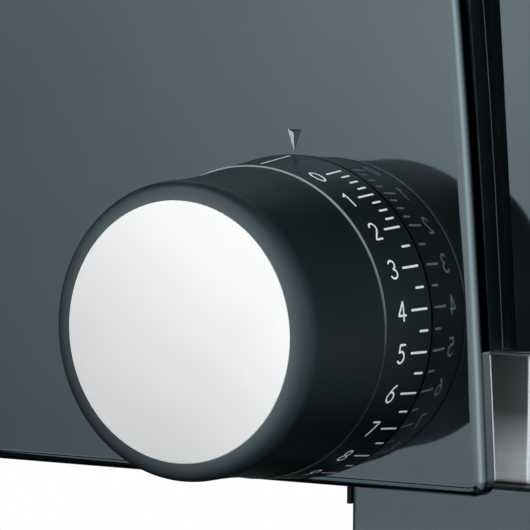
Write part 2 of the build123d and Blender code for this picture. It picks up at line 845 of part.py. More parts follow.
# Knob: the grip, a waisted cup with a hub inside and a recess for the disc
with BuildPart() as knob_grip:
    with BuildSketch(turning_plane()) as grip_section:
        with BuildLine():
            rim = (disc_radius + shaft_gap, -knob_length)
            shoulder = (grip_front_radius, -grip_front_height)
            side = Spline((grip_rear_radius, -trim_top), (grip_waist_radius, -grip_waist_height),
                          shoulder)
            front_round = Spline(shoulder, rim, tangents=(side % 1, Vector(-1, 0)))
            recess = -knob_length + disc_thickness
            floor_depth = -knob_length + grip_front_wall
            Polyline(rim, (disc_radius + shaft_gap, recess), (0.0, recess), (0.0, floor_depth),
                     (grip_inner_radius, floor_depth), (grip_inner_radius, -trim_top),
                     (grip_rear_radius, -trim_top))
        make_face()
    revolve(axis=depth_axis())
    bar(0.0, 0.0, floor_depth - shaft_gap, -trim_top, hub_radius)
    bar(0.0, 0.0, -shaft_front, 0.0, shaft_radius + shaft_gap, mode=Mode.SUBTRACT)
knob_grip.part.label = "knob_grip"

# Knob: the bright disc let into its front
with BuildPart() as knob_disc:
    bar(0.0, 0.0, -knob_length, -knob_length + disc_thickness, disc_radius)
    fillet(knob_disc.faces().sort_by(Axis.Y)[0].edges(), disc_edge)
knob_disc.part.label = "knob_disc"

# Knob: its steel shaft, with a groove for the clip
with BuildPart() as knob_shaft:
    bar(0.0, 0.0, -shaft_front, shaft_far, shaft_radius)
    turned([(shaft_radius - clip_thickness, clip_depth), (shaft_radius + overrun, clip_depth),
            (shaft_radius + overrun, clip_depth + clip_thickness),
            (shaft_radius - clip_thickness, clip_depth + clip_thickness)], mode=Mode.SUBTRACT)
knob_shaft.part.label = "knob_shaft"

# Knob: the open clip that keeps the shaft in its bush
with BuildPart() as shaft_clip:
    with BuildSketch(front_plane(clip_depth + clip_thickness)):
        Circle(clip_radius)
        Circle(shaft_radius - clip_thickness, mode=Mode.SUBTRACT)
        with Locations((0.0, -clip_radius)):
            Rectangle(clip_mouth, 2 * clip_radius, mode=Mode.SUBTRACT)
    extrude(amount=clip_thickness)
shaft_clip.part.label = "shaft_clip"

# Knob: the gear on its shaft, inside the panel; a tooth points down at the pinion
with BuildPart() as knob_gear:
    gear(setting_teeth, setting_module, -quarter_turn, setting_near, setting_width, 0.0, 0.0,
         shaft_radius + shaft_gap)
knob_gear.part.label = "knob_gear"

# Lead screw that draws the stop plate along
with BuildPart() as lead_screw:
    bar(0.0, lead_z, lead_near, lead_far, lead_radius)
    chamfer(lead_screw.faces().sort_by(Axis.Y)[-1].edges(), lead_chamfer)
lead_screw.part.label = "lead_screw"

# Lead screw: its pinion, with a gap between two teeth pointing up at the knob's gear
with BuildPart() as setting_pinion:
    gear(setting_pinion_teeth, setting_module, quarter_turn + half_turn / setting_pinion_teeth,
         setting_near, setting_width, 0.0, lead_z, lead_radius + shaft_gap)
setting_pinion.part.label = "setting_pinion"

# Blade: a round steel plate with a bevelled edge
with BuildPart() as blade:
    blade_near = blade_face - blade_thickness
    turned([(blade_bore, blade_face), (blade_radius, blade_face),
            (blade_radius, blade_face - blade_edge), (blade_radius - blade_bevel, blade_near),
            (blade_bore, blade_near)], blade_x, blade_z)
blade.part.label = "blade"

# Blade: the carrier behind it, on the spindle
with BuildPart() as blade_carrier:
    turned([(spindle_radius + shaft_gap, blade_near), (carrier_disc_radius, blade_near),
            (carrier_disc_radius, carrier_disc_near), (carrier_hub_radius, carrier_disc_near),
            (carrier_hub_radius, carrier_hub_near), (spindle_radius + shaft_gap, carrier_hub_near)],
           blade_x, blade_z)
blade_carrier.part.label = "blade_carrier"

# Blade: the low cap that clamps it, with a slot for a coin
with BuildPart() as blade_cap:
    cap_far = blade_face + hub_cap_height
    turned([(0.0, cap_far), (hub_cap_radius - hub_cap_edge, cap_far),
            (hub_cap_radius, blade_face + hub_cap_height - hub_cap_edge),
            (hub_cap_radius, blade_face), (blade_bore - shaft_gap, blade_face),
            (blade_bore - shaft_gap, blade_near), (0.0, blade_near)], blade_x, blade_z)
    block(blade_x - hub_slot_length / 2, blade_x + hub_slot_length / 2, cap_far - hub_slot_depth,
          cap_far + overrun, blade_z - hub_slot_width / 2, blade_z + hub_slot_width / 2,
          mode=Mode.SUBTRACT)
blade_cap.part.label = "blade_cap"

# Blade: its spindle, from the bearing in the web to the cap
with BuildPart() as blade_spindle:
    bar(blade_x, blade_z, -spindle_near, spindle_far, spindle_radius)
blade_spindle.part.label = "blade_spindle"

# Blade: the large gear on the spindle; a tooth points at the counter shaft
with BuildPart() as blade_gear:
    gear(second_teeth, second_module, counter_direction, -second_near, second_width,
         blade_x, blade_z, spindle_radius + shaft_gap)
blade_gear.part.label = "blade_gear"

# Counter gear, one moulding: a gap between two teeth of its small gear points back at the
# blade's gear, and a tooth of its large gear points at the motor's pinion
gap_to_blade = counter_direction + half_turn + half_turn / second_pinion_teeth
with BuildPart() as counter_gear:
    gear(second_pinion_teeth, second_module, gap_to_blade, -second_near, second_width,
         counter_x, counter_z, counter_radius + shaft_gap)
    gear(first_teeth, first_module, motor_direction, -first_near, first_width,
         counter_x, counter_z, counter_radius + shaft_gap)
    bar(counter_x, counter_z, -first_near + first_width, -second_near, counter_hub_radius)
    bar(counter_x, counter_z, -first_near - overrun, -second_near + overrun,
        counter_radius + shaft_gap, mode=Mode.SUBTRACT)
counter_gear.part.label = "counter_gear"

# Fixed pin that the counter shaft's gears turn on
with BuildPart() as counter_pin:
    bar(counter_x, counter_z, -web_near, counter_far, counter_radius)
counter_pin.part.label = "counter_pin"

# Bearings of the blade's spindle, one in the web and one in the back plate
with BuildPart() as blade_bearings:
    for bearing_near in (-web_near, tower_far):
        bar(blade_x, blade_z, bearing_near, bearing_near + bearing_length,
            spindle_radius + bearing_wall)
        bar(blade_x, blade_z, bearing_near - overrun, bearing_near + bearing_length + overrun,
            spindle_radius + shaft_gap, mode=Mode.SUBTRACT)
blade_bearings.part.label = "blade_bearings"

# Tower housing: an open shell with a web across it that carries the drive
with BuildPart() as tower_housing:
    with BuildSketch(front_plane(tower_far)):
        tower_outline()
    extrude(amount=tower_near + tower_far)
    fillet(tower_housing.edges().filter_by(Axis.Y).group_by(Axis.Z)[-1], tower_corner)
    for hollow_near, hollow_far in ((-tower_near - overrun, -web_near),
                                    (-web_near + web_thickness, tower_far + overrun)):
        with BuildSketch(front_plane(hollow_far)):
            tower_outline(tower_wall)
        extrude(amount=hollow_far - hollow_near, mode=Mode.SUBTRACT)
    for screw_x, screw_z in tower_screw_places():
        bar(screw_x, screw_z, -tower_near, tower_far, tower_boss_radius)
        bar(screw_x, screw_z, tower_far - tower_screw_length, tower_far + overrun,
            tower_screw_radius + shaft_gap, mode=Mode.SUBTRACT)
        bar(screw_x, screw_z, -tower_near - overrun, -tower_near + tower_screw_length,
            tower_screw_radius + shaft_gap, mode=Mode.SUBTRACT)
    web_cuts = ((blade_x, blade_z, spindle_radius + bearing_wall),
                (counter_x, counter_z, counter_radius), (motor_x, motor_z, bell_boss_radius))
    for cut_x, cut_z, cut_radius in web_cuts:
        bar(cut_x, cut_z, -web_near - overrun, -web_near + web_thickness + overrun,
            cut_radius + shaft_gap, mode=Mode.SUBTRACT)
tower_housing.part.label = "tower_housing"

# Back plate that closes the tower behind the blade
with BuildPart() as back_plate:
    with BuildSketch(front_plane(back_plate_far)) as back_shape:
        tower_outline()
        high_corner = back_shape.vertices().group_by(Axis.Y)[-1].sort_by(Axis.X)[-1]
        with Locations((blade_x, blade_z)):
            Circle(spindle_radius + bearing_wall + shaft_gap, mode=Mode.SUBTRACT)
        with Locations((counter_x, counter_z)):
            Circle(counter_radius + shaft_gap, mode=Mode.SUBTRACT)
        with Locations(*tower_screw_places()):
            Circle(tower_screw_radius + shaft_gap, mode=Mode.SUBTRACT)
    extrude(amount=back_plate_thickness)
    fillet(back_plate.edges().filter_by(Axis.Y).group_by(Axis.Z)[-1], tower_corner)
back_plate.part.label = "back_plate"

# Guard ring round the blade's covered side
with BuildPart() as guard_ring:
    with BuildSketch(front_plane(guard_far)):
        with Locations((blade_x, blade_z)):
            Circle(guard_radius)
            Circle(guard_radius - guard_wall, mode=Mode.SUBTRACT)
        with Locations((guard_radius / 2 - tower_right - tower_corner, blade_z)):
            Rectangle(guard_radius, 2 * guard_radius, mode=Mode.SUBTRACT)
    extrude(amount=guard_far - back_plate_far)
    fillet(guard_ring.faces().sort_by(Axis.Y)[-1].edges(), guard_edge)
guard_ring.part.label = "guard_ring"

# Motor cover: the cup that closes the tower's other end, with slots for the air
with BuildPart() as motor_cover:
    with BuildSketch(front_plane(-tower_near)):
        tower_outline()
    extrude(amount=cover_near - tower_near)
    fillet(motor_cover.edges().filter_by(Axis.Y).group_by(Axis.Z)[-1], tower_corner)
    fillet(motor_cover.faces().sort_by(Axis.Y)[0].edges(), cover_edge)
    with BuildSketch(front_plane(-tower_near)):
        tower_outline(cover_wall)
    extrude(amount=cover_near - tower_near - cover_wall, mode=Mode.SUBTRACT)
    with BuildSketch(front_plane(-cover_near + cover_wall + overrun)):
        with Locations((motor_x, motor_z)):
            with GridLocations(vent_pitch, 0, vent_count, 1):
                SlotOverall(vent_height, vent_width, rotation=quarter_turn)
        with Locations((-button_left, button_high)):
            Circle(button_radius + running_gap)
        with Locations((-slider_left + slider_travel / 2, slider_high)):
            Rectangle(slider_width + slider_travel + 2 * running_gap,
                      slider_height + 2 * running_gap)
        with Locations((-inlet_left, -inlet_low)):
            Circle(inlet_radius + shaft_gap)
    extrude(amount=cover_wall + 2 * overrun, mode=Mode.SUBTRACT)
    for screw_x, screw_z in tower_screw_places():
        bar(screw_x, screw_z, -cover_near + cover_wall, -tower_near, tower_boss_radius)
        bar(screw_x, screw_z, -cover_near - overrun, -tower_near + overrun,
            tower_screw_radius + shaft_gap, mode=Mode.SUBTRACT)
        bar(screw_x, screw_z, -cover_near - overrun, -cover_near + tower_screw_head,
            tower_screw_head_radius + shaft_gap, mode=Mode.SUBTRACT)
motor_cover.part.label = "motor_cover"

# Screws that hold the back plate and, sunk flush, the motor cover on the tower
with BuildPart() as tower_screws:
    for screw_x, screw_z in tower_screw_places():
        bar(screw_x, screw_z, back_plate_far, back_plate_far + tower_screw_head,
            tower_screw_head_radius)
        bar(screw_x, screw_z, tower_far - tower_screw_length + overrun, back_plate_far,
            tower_screw_radius)
        bar(screw_x, screw_z, -cover_near, -cover_near + tower_screw_head,
            tower_screw_head_radius)
        bar(screw_x, screw_z, -cover_near + tower_screw_head,
            -tower_near + tower_screw_length - overrun, tower_screw_radius)
tower_screws.part.label = "tower_screws"

# Bush of the mains inlet in the cover
with BuildPart() as mains_inlet:
    inlet_near = -cover_near
    bar(-inlet_left, -inlet_low, inlet_near, inlet_near + inlet_depth, inlet_radius)
    bar(-inlet_left, -inlet_low, inlet_near + cover_wall, inlet_near + cover_wall + inlet_flange,
        inlet_radius + inlet_flange)
    bar(-inlet_left, -inlet_low, inlet_near - overrun, inlet_near + inlet_depth + overrun,
        inlet_bore, mode=Mode.SUBTRACT)
mains_inlet.part.label = "mains_inlet"

# Motor: the two end bells, cups that carry the rotor; the front one has a boss in the web
with BuildPart() as motor_bells:
    for wall_depth, rim_depth, inside in ((-bell_far, -stator_far, -bell_wall),
                                          (-bell_near, -stator_near, bell_wall)):
        turned([(motor_shaft_radius + shaft_gap, wall_depth), (motor_radius, wall_depth),
                (motor_radius, rim_depth), (motor_radius - bell_rim, rim_depth),
                (motor_radius - bell_rim, wall_depth + inside),
                (motor_shaft_radius + shaft_gap, wall_depth + inside)], motor_x, motor_z)
    turned([(motor_shaft_radius + shaft_gap, -bell_far), (bell_boss_radius, -bell_far),
            (bell_boss_radius, -web_near + web_thickness),
            (motor_shaft_radius + shaft_gap, -web_near + web_thickness)], motor_x, motor_z)
motor_bells.part.label = "motor_bells"

# Motor: the stack of field plates, with feet that reach the tower's walls
with BuildPart() as stator:
    bar(motor_x, motor_z, -stator_near, -stator_far, motor_radius)
    bar(motor_x, motor_z, -stator_near - overrun, -stator_far + overrun, stator_inner,
        mode=Mode.SUBTRACT)
stator.part.label = "stator"

# Motor: the two field coils' end turns, one ring at each end of the stack
with BuildPart() as field_coils:
    for coil_low, coil_high in ((-coil_near, -stator_near), (-stator_far, -coil_far)):
        turned([(coil_inner, coil_low), (coil_outer, coil_low), (coil_outer, coil_high),
                (coil_inner, coil_high)], motor_x, motor_z)
field_coils.part.label = "field_coils"

# Motor: two carbon brush holders beside the commutator
with BuildPart() as brush_holders:
    for side_sign in (-1, 1):
        holder_inner = side_sign * (commutator_radius + running_gap)
        holder_outer = side_sign * (coil_inner - running_gap)
        block(motor_x + min(holder_inner, holder_outer), motor_x + max(holder_inner, holder_outer),
              -bell_near + bell_wall, -brush_far, motor_z - brush_width / 2,
              motor_z + brush_width / 2)
brush_holders.part.label = "brush_holders"

# Rotor: slotted core on the shaft
with BuildPart() as rotor_core:
    with BuildSketch(front_plane(-stator_far, motor_x, motor_z)):
        Circle(rotor_radius)
        with PolarLocations(rotor_radius, rotor_slots):
            Rectangle(2 * rotor_slot_depth, rotor_slot_width, mode=Mode.SUBTRACT)
        Circle(motor_shaft_radius + shaft_gap, mode=Mode.SUBTRACT)
    extrude(amount=stator_near - stator_far)
rotor_core.part.label = "rotor_core"

# Rotor: its shaft, from the fan to the pinion
with BuildPart() as motor_shaft:
    bar(motor_x, motor_z, -motor_shaft_near, -motor_shaft_far, motor_shaft_radius)
motor_shaft.part.label = "motor_shaft"

# Rotor: the commutator that the brushes touch
with BuildPart() as commutator:
    bar(motor_x, motor_z, -commutator_near, -commutator_far, commutator_radius)
    bar(motor_x, motor_z, -commutator_near - overrun, -commutator_far + overrun,
        motor_shaft_radius + shaft_gap, mode=Mode.SUBTRACT)
commutator.part.label = "commutator"

# Rotor: the pinion, with a gap between two teeth pointing back at the counter gear
gap_to_counter = motor_direction + half_turn + half_turn / first_pinion_teeth
with BuildPart() as motor_pinion:
    gear(first_pinion_teeth, first_module, gap_to_counter, -first_near, first_width,
         motor_x, motor_z, motor_shaft_radius + shaft_gap)
motor_pinion.part.label = "motor_pinion"

# Rotor: the cooling fan in the cover
with BuildPart() as cooling_fan:
    bar(motor_x, motor_z, -fan_near, -fan_far, fan_hub_radius)
    bar(motor_x, motor_z, -fan_far - fan_plate, -fan_far, fan_radius)
    with BuildSketch(front_plane(-fan_far - fan_plate / 2, motor_x, motor_z)):
        with PolarLocations((fan_radius + fan_blade_inner) / 2, fan_blades):
            Rectangle(fan_radius - fan_blade_inner, fan_blade_thickness)
    extrude(amount=fan_near - fan_far - fan_plate / 2)
    bar(motor_x, motor_z, -fan_near - overrun, -fan_far + overrun,
        motor_shaft_radius + shaft_gap, mode=Mode.SUBTRACT)
cooling_fan.part.label = "cooling_fan"

# Push button for short runs, with a flange inside the cover
with BuildPart() as run_button:
    bar(-button_left, button_high, -cover_near - button_proud,
        -cover_near + cover_wall + button_flange_thickness, button_radius)
    fillet(run_button.faces().sort_by(Axis.Y)[0].edges(), button_edge)
    bar(-button_left, button_high, -cover_near + cover_wall + running_gap,
        -cover_near + cover_wall + running_gap + button_flange_thickness,
        button_radius + button_flange)
run_button.part.label = "run_button"

# Slide switch for running on, with ridges for the thumb
with BuildPart() as run_slider:
    slider_low = slider_high - slider_height / 2
    block(-slider_left - slider_width / 2, -slider_left + slider_width / 2,
          -cover_near - slider_proud,
          -cover_near + cover_wall + slider_flange_thickness, slider_low,
          slider_low + slider_height)
    for ridge in range(slider_ridges):
        ridge_left = -slider_left - slider_width / 2 + (2 * ridge + 1) * slider_width / (2 * slider_ridges)
        block(ridge_left - slider_ridge_width / 2, ridge_left + slider_ridge_width / 2,
              -cover_near - slider_proud - slider_ridge_depth,
              -cover_near, slider_low + slider_ridge_width,
              slider_low + slider_height - slider_ridge_width)
    block(-slider_left - slider_width / 2, -slider_left + slider_width / 2,
          -cover_near + cover_wall + running_gap,
          -cover_near + cover_wall + running_gap + slider_flange_thickness,
          slider_low - slider_flange, slider_low + slider_height + slider_flange)
run_slider.part.label = "run_slider"

# Switch block behind the button and the slider
with BuildPart() as switch_block:
    block(-switch_left, -switch_right, -switch_near, -switch_far, switch_low, switch_high)
    fillet(switch_block.edges().filter_by(Axis.Y), screw_radius)
    for post_x in (-switch_left + switch_post_radius, -switch_right - switch_post_radius):
        bar(post_x, (switch_low + switch_high) / 2, -cover_near + cover_wall, -switch_near,
            switch_post_radius)
switch_block.part.label = "switch_block"

# Circuit board on its standoffs, with a relay and a capacitor
with BuildPart() as control_board:
    board_far = -web_near - board_standoff
    board_near = board_far - board_thickness
    block(-board_left, -board_right, board_near, board_far, board_low, board_high)
    for stand_x in (-board_left + board_standoff_inset, -board_right - board_standoff_inset):
        for stand_z in (board_low + board_standoff_inset, board_high - board_standoff_inset):
            bar(stand_x, stand_z, board_far, -web_near, board_standoff_radius)
    bar(-board_right - capacitor_radius - board_standoff_inset, (board_low + board_high) / 2,
        board_near - capacitor_length, board_near, capacitor_radius)
    block(-board_left + board_standoff_inset, -board_left + board_standoff_inset + relay_width,
          board_near - relay_depth, board_near, board_low + board_standoff_inset,
          board_low + board_standoff_inset + relay_width)
control_board.part.label = "control_board"

# Carriage: the steel table with low ribs that the food slides on
with BuildPart() as carriage_table:
    with BuildSketch(floor_plane(-table_top - table_thickness)):
        with Locations(((table_right - table_left) / 2, (table_near + table_far) / 2)):
            RectangleRounded(table_right + table_left, table_far - table_near, table_corner)
    extrude(amount=table_thickness)
    rib_span = table_far - table_near - 2 * table_rib_inset
    for rib in range(table_ribs):
        rib_depth = table_near + table_rib_inset + rib_span * rib / (table_ribs - 1)
        block(-table_left + table_rib_inset, wall_left - table_rib_inset,
              rib_depth - table_rib_width / 2, rib_depth + table_rib_width / 2,
              -table_top - table_thickness, -table_top + table_rib_height)
carriage_table.part.label = "carriage_table"

# Carriage: the moulded frame under the table, with a skirt beside the beam
with BuildPart() as carriage_frame:
    block(-frame_left, frame_right, frame_near, frame_far, -frame_bottom,
          -table_top - table_thickness)
    fillet(carriage_frame.edges().filter_by(Axis.Z), frame_wall)
    block(-frame_left + frame_wall, frame_right - frame_wall, frame_near + skirt_thickness,
          frame_far - frame_wall, -frame_bottom - overrun,
          -table_top - table_thickness - frame_wall / 2, mode=Mode.SUBTRACT)
    for rib in range(frame_ribs):
        rib_x = -frame_left + (rib + 1) * (frame_left + frame_right) / (frame_ribs + 1)
        block(rib_x - frame_wall / 2, rib_x + frame_wall / 2, frame_near + frame_wall,
              frame_far - frame_wall, -frame_bottom, -table_top - table_thickness)
    block(-frame_left + frame_wall, frame_right - frame_wall, frame_near,
          frame_near + skirt_thickness, -skirt_bottom, -frame_bottom + overrun)
    post(lock_x, lock_depth, -frame_bottom, -table_top - table_thickness,
         lock_radius)
    post(lock_x, lock_depth, -frame_bottom - overrun, -table_top - table_thickness - overrun,
         lock_pin_radius + shaft_gap, mode=Mode.SUBTRACT)
carriage_frame.part.label = "carriage_frame"

# Carriage: two shoes that run in the beam's T-groove
with BuildPart() as glide_shoes:
    for shoe_left, shoe_right in ((-shoe_near_left, -shoe_near_right),
                                  (shoe_far_left, shoe_far_right - shoe_gap)):
        block(shoe_left, shoe_right, groove_near + shoe_gap, groove_far - shoe_gap,
              -beam_middle - groove_height / 2 + shoe_gap,
              -beam_middle + groove_height / 2 - shoe_gap)
        block(shoe_left, shoe_right, groove_near + shoe_gap, frame_near,
              -beam_middle - groove_neck / 2 + shoe_gap,
              -beam_middle + groove_neck / 2 - shoe_gap)
glide_shoes.part.label = "glide_shoes"

# Carriage: the upright wall that the food holder slides along
with BuildPart() as carriage_wall:
    block(wall_left, wall_left + wall_thickness, wall_near, wall_far, -table_top, wall_top)
    top_corners = carriage_wall.edges().filter_by(Axis.X).group_by(Axis.Z)[-1]
    fillet(top_corners, wall_corner)
carriage_wall.part.label = "carriage_wall"

# Carriage: the handle on the wall's outer side
with BuildPart() as carriage_handle:
    block(wall_left + wall_thickness, handle_right, handle_near, handle_far, handle_low,
          handle_high)
    outer_edges = carriage_handle.faces().sort_by(Axis.X)[-1].edges()
    fillet(outer_edges, handle_edge)
carriage_handle.part.label = "carriage_handle"

# Carriage: the lever that locks it
with BuildPart() as lock_lever:
    lock_top = -frame_bottom - running_gap
    post(lock_x, lock_depth, lock_top - lock_thickness, lock_top, lock_radius)
    block(lock_x - lock_arm_width / 2, lock_x + lock_arm_width / 2, lock_depth,
          lock_depth + lock_arm, lock_top - lock_thickness, lock_top)
    fillet(lock_lever.faces().sort_by(Axis.Y)[-1].edges().filter_by(Axis.Z), lock_pin_radius)
    post(lock_x, lock_depth, lock_top, lock_top + lock_pin_head, lock_pin_radius)
lock_lever.part.label = "lock_lever"

# Food holder: a spiked plate that hooks over the carriage's wall
with BuildPart() as food_holder:
    holder_far = holder_near + holder_thickness
    with BuildSketch(front_plane(holder_far)) as holder_shape:
        with Locations(((wall_left - running_gap - holder_left) / 2, (holder_top - holder_bottom) / 2)):
            RectangleRounded(wall_left - running_gap + holder_left, holder_top + holder_bottom,
                             holder_corner)
    extrude(amount=holder_thickness)
    arm_low = wall_top + running_gap
    block(wall_left - holder_arm_height - holder_corner, wall_left + wall_thickness + running_gap
          + holder_lip, holder_near, holder_near + holder_arm_far, arm_low,
          arm_low + holder_arm_height)
    block(wall_left - holder_arm_height - holder_corner, wall_left - running_gap, holder_near,
          holder_near + holder_thickness, holder_top - holder_corner - holder_arm_height,
          arm_low + holder_arm_height)
    block(wall_left + wall_thickness + running_gap, wall_left + wall_thickness + running_gap
          + holder_lip, holder_near, holder_near + holder_arm_far, arm_low - holder_lip_drop,
          arm_low + holder_arm_height)
    spike_middle = (-holder_left + wall_left) / 2
    for column in range(spike_columns):
        for row in range(spike_rows):
            spike_x = spike_middle + (column - (spike_columns - 1) / 2) * spike_pitch
            spike_z = (holder_top - holder_bottom) / 2 + (row - (spike_rows - 1) / 2) * spike_pitch
            turned([(0.0, holder_near - spike_length), (spike_radius, holder_near),
                    (spike_radius, holder_near + overrun), (0.0, holder_near + overrun)],
                   spike_x, spike_z)
food_holder.part.label = "food_holder"

pieces = [
    base_plate, rubber_feet, base_foot, left_foot, beam_seat, guide_beam, beam_caps, beam_screws,
    guide_bushes, spindle_nut, stop_panel, spacer_frame, stop_face, carrier, carrier_screws,
    guide_rods, knob_bush, scale_ring, trim_ring, knob_grip, knob_disc, knob_shaft, shaft_clip,
    knob_gear, lead_screw, setting_pinion, blade, blade_carrier, blade_cap, blade_spindle,
    blade_gear, counter_gear, counter_pin, blade_bearings, tower_housing,
    back_plate, guard_ring, motor_cover, tower_screws, mains_inlet, motor_bells, stator,
    field_coils, brush_holders, rotor_core, motor_shaft, commutator, motor_pinion, cooling_fan,
    run_button, run_slider, switch_block, control_board,
    carriage_table, carriage_frame, glide_shoes, carriage_wall, carriage_handle, lock_lever,
    food_holder,
]

os.makedirs("parts", exist_ok=True)
for piece in pieces:
    export_step(piece.part, f"parts/{piece.part.label}.step")
    size = piece.part.bounding_box().size
    print(f"{piece.part.label}: {size.X:.1f} x {size.Y:.1f} x {size.Z:.1f} mm")
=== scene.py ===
# %% [markdown]
# # Electric food slicer
#
# The imported CAD model is the fixed frame of this lesson: every solid is already where it belongs, in metres.
# Blender adds what CAD can't show: the finish of each surface, the printed scale, the screw recesses and the
# light. The first cell loads the frame and keeps the box of the plain model.

# %% Load the frame
import json
from math import cos, pi, radians, sin, tau

import bpy
import numpy as np
from mathutils import Matrix, Vector


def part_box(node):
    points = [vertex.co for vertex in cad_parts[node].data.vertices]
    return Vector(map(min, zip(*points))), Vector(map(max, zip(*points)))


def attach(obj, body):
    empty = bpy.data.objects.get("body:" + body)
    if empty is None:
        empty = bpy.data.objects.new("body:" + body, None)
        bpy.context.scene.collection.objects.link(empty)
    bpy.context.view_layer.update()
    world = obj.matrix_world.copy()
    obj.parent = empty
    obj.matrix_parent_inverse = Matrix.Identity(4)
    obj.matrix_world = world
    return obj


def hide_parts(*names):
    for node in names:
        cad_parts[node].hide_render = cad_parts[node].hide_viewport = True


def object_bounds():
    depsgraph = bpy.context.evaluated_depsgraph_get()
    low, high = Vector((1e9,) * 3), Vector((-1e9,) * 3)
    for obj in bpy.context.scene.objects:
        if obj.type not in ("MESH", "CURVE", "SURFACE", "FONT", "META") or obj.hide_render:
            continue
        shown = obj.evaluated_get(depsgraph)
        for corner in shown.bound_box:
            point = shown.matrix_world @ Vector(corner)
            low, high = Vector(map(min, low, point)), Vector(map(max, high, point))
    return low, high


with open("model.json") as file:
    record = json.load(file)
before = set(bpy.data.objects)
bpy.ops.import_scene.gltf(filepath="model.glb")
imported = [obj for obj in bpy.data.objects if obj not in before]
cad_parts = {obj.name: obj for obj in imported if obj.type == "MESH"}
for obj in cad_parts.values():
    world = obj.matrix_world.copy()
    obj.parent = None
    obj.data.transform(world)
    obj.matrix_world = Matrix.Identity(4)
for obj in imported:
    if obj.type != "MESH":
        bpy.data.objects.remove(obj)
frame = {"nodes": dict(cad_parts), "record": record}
nodes = frame["nodes"]
cad_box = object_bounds()

# %% [markdown]
# ## Places that the whole lesson shares
#
# The knob's axis and the stop panel's front face are where most things are measured from. Both are read from
# the frame, so that the print and the lamps stay with the solids.

# %% Shared places
MM = 0.001
ring_gap = 0.3 * MM                  # the scale ring turns this far in front of the panel
ring_low, ring_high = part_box("scale_ring")
knob_x, knob_z = (ring_low.x + ring_high.x) / 2, (ring_low.z + ring_high.z) / 2
panel_front = ring_high.y + ring_gap
knob_point = Vector((knob_x, panel_front, knob_z))
blade_low, blade_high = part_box("blade")
blade_x, blade_z = (blade_low.x + blade_high.x) / 2, (blade_low.z + blade_high.z) / 2
middle = (cad_box[0] + cad_box[1]) / 2
print("the knob's axis meets the panel at", [round(c, 4) for c in knob_point])

# %% [markdown]
# ## Camera
#
# The photograph was taken with a long lens from a little over a metre, so it has hardly any perspective. The
# angles, the focal length and the distance below come from fitting a camera to the printed ticks of the
# scale. The fitted picture has its centre away from the optical axis. Shifting the lens would do, but at this
# focal length turning the camera by half a degree gives the same picture, so the camera is turned and has no
# shift.

# %% Camera from the fit
picture = 530.0                      # pixels along a side of the photograph
focal_pixels = 6619.0
knob_pixel = (293.093, 316.755)      # where the knob's axis meets the panel in the photograph
azimuth, elevation, roll = radians(32.343), radians(5.203), radians(0.452)
distance = 1279.4 * MM

back = Vector((sin(azimuth) * cos(elevation), -cos(azimuth) * cos(elevation), sin(elevation)))
right = Vector((cos(azimuth), sin(azimuth), 0.0))
up = back.cross(right)
right, up = cos(roll) * right + sin(roll) * up, cos(roll) * up - sin(roll) * right
off_right, off_down = [(pixel - picture / 2) / focal_pixels for pixel in knob_pixel]
aim = (up * off_down - right * off_right - back).normalized()
camera_right = aim.cross(up).normalized()
camera_up = camera_right.cross(aim)

lens = bpy.data.cameras.new("photo_lens")
lens.sensor_width = 36.0
lens.lens = focal_pixels / picture * lens.sensor_width
camera = bpy.data.objects.new("photo_camera", lens)
turn = Matrix((camera_right, camera_up, -aim)).transposed().to_4x4()
camera.matrix_world = Matrix.Translation(knob_point + back * distance) @ turn
bpy.context.scene.collection.objects.link(camera)
bpy.context.scene.camera = camera
bpy.context.scene.view_settings.view_transform = "Standard"
print("lens:", round(lens.lens, 1), "mm, camera at", [round(c, 3) for c in camera.location])

# %% [markdown]
# ## Wiring materials from code
#
# A node tree is easier to read as sums than as boxes and wires. `Wires` adds a node and takes a number, a
# colour or another node's socket for any input, and gives back the output socket, so that one line of code is
# one node.

# %% Wires: one line for one node
class Wires:
    """Adds nodes to a tree. An input is named or numbered, and takes a value or another node's output."""

    def __init__(self, tree):
        self.tree = tree

    def node(self, kind, inputs=None, **settings):
        made = self.tree.nodes.new("ShaderNode" + kind)
        for name, value in settings.items():
            setattr(made, name, value)
        for name, value in (inputs or {}).items():
            if isinstance(value, bpy.types.NodeSocket):
                self.tree.links.new(value, made.inputs[name])
            else:
                made.inputs[name].default_value = value
        return made

    def math(self, operation, *values):
        return self.node("Math", dict(enumerate(values)), operation=operation).outputs[0]

    def vector(self, operation, *values):
        made = self.node("VectorMath", dict(enumerate(values)), operation=operation)
        return made.outputs["Value"] if operation in ("DOT_PRODUCT", "LENGTH") else made.outputs[0]

    def noise(self, vector, scale, detail=2.0, roughness=0.5):
        return self.node("TexNoise", {"Vector": vector, "Scale": scale, "Detail": detail,
                                      "Roughness": roughness}).outputs["Fac"]

    def ramp(self, value, low, high, to_low=0.0, to_high=1.0):
        return self.node("MapRange", {"Value": value, 1: low, 2: high, 3: to_low, 4: to_high},
                         clamp=True).outputs[0]

    def mix(self, share, first, second):
        first, second = [colour if isinstance(colour, bpy.types.NodeSocket) else (*colour, 1.0)
                         for colour in (first, second)]
        return self.node("Mix", {"Factor": share, 6: first, 7: second}, data_type="RGBA").outputs[2]


def new_group(name, numbers, vectors=(), outputs=("Height", "Tone")):
    """An empty shader node group with named number and vector inputs and number outputs."""
    group = bpy.data.node_groups.new(name, "ShaderNodeTree")
    for label, value in numbers.items():
        group.interface.new_socket(label, in_out="INPUT", socket_type="NodeSocketFloat").default_value = value
    for label in vectors:
        group.interface.new_socket(label, in_out="INPUT", socket_type="NodeSocketVector")
    for label in outputs:
        group.interface.new_socket(label, in_out="OUTPUT", socket_type="NodeSocketFloat")
    given, gives = group.nodes.new("NodeGroupInput").outputs, group.nodes.new("NodeGroupOutput").inputs
    return group, given, gives, Wires(group)


print("helpers ready")

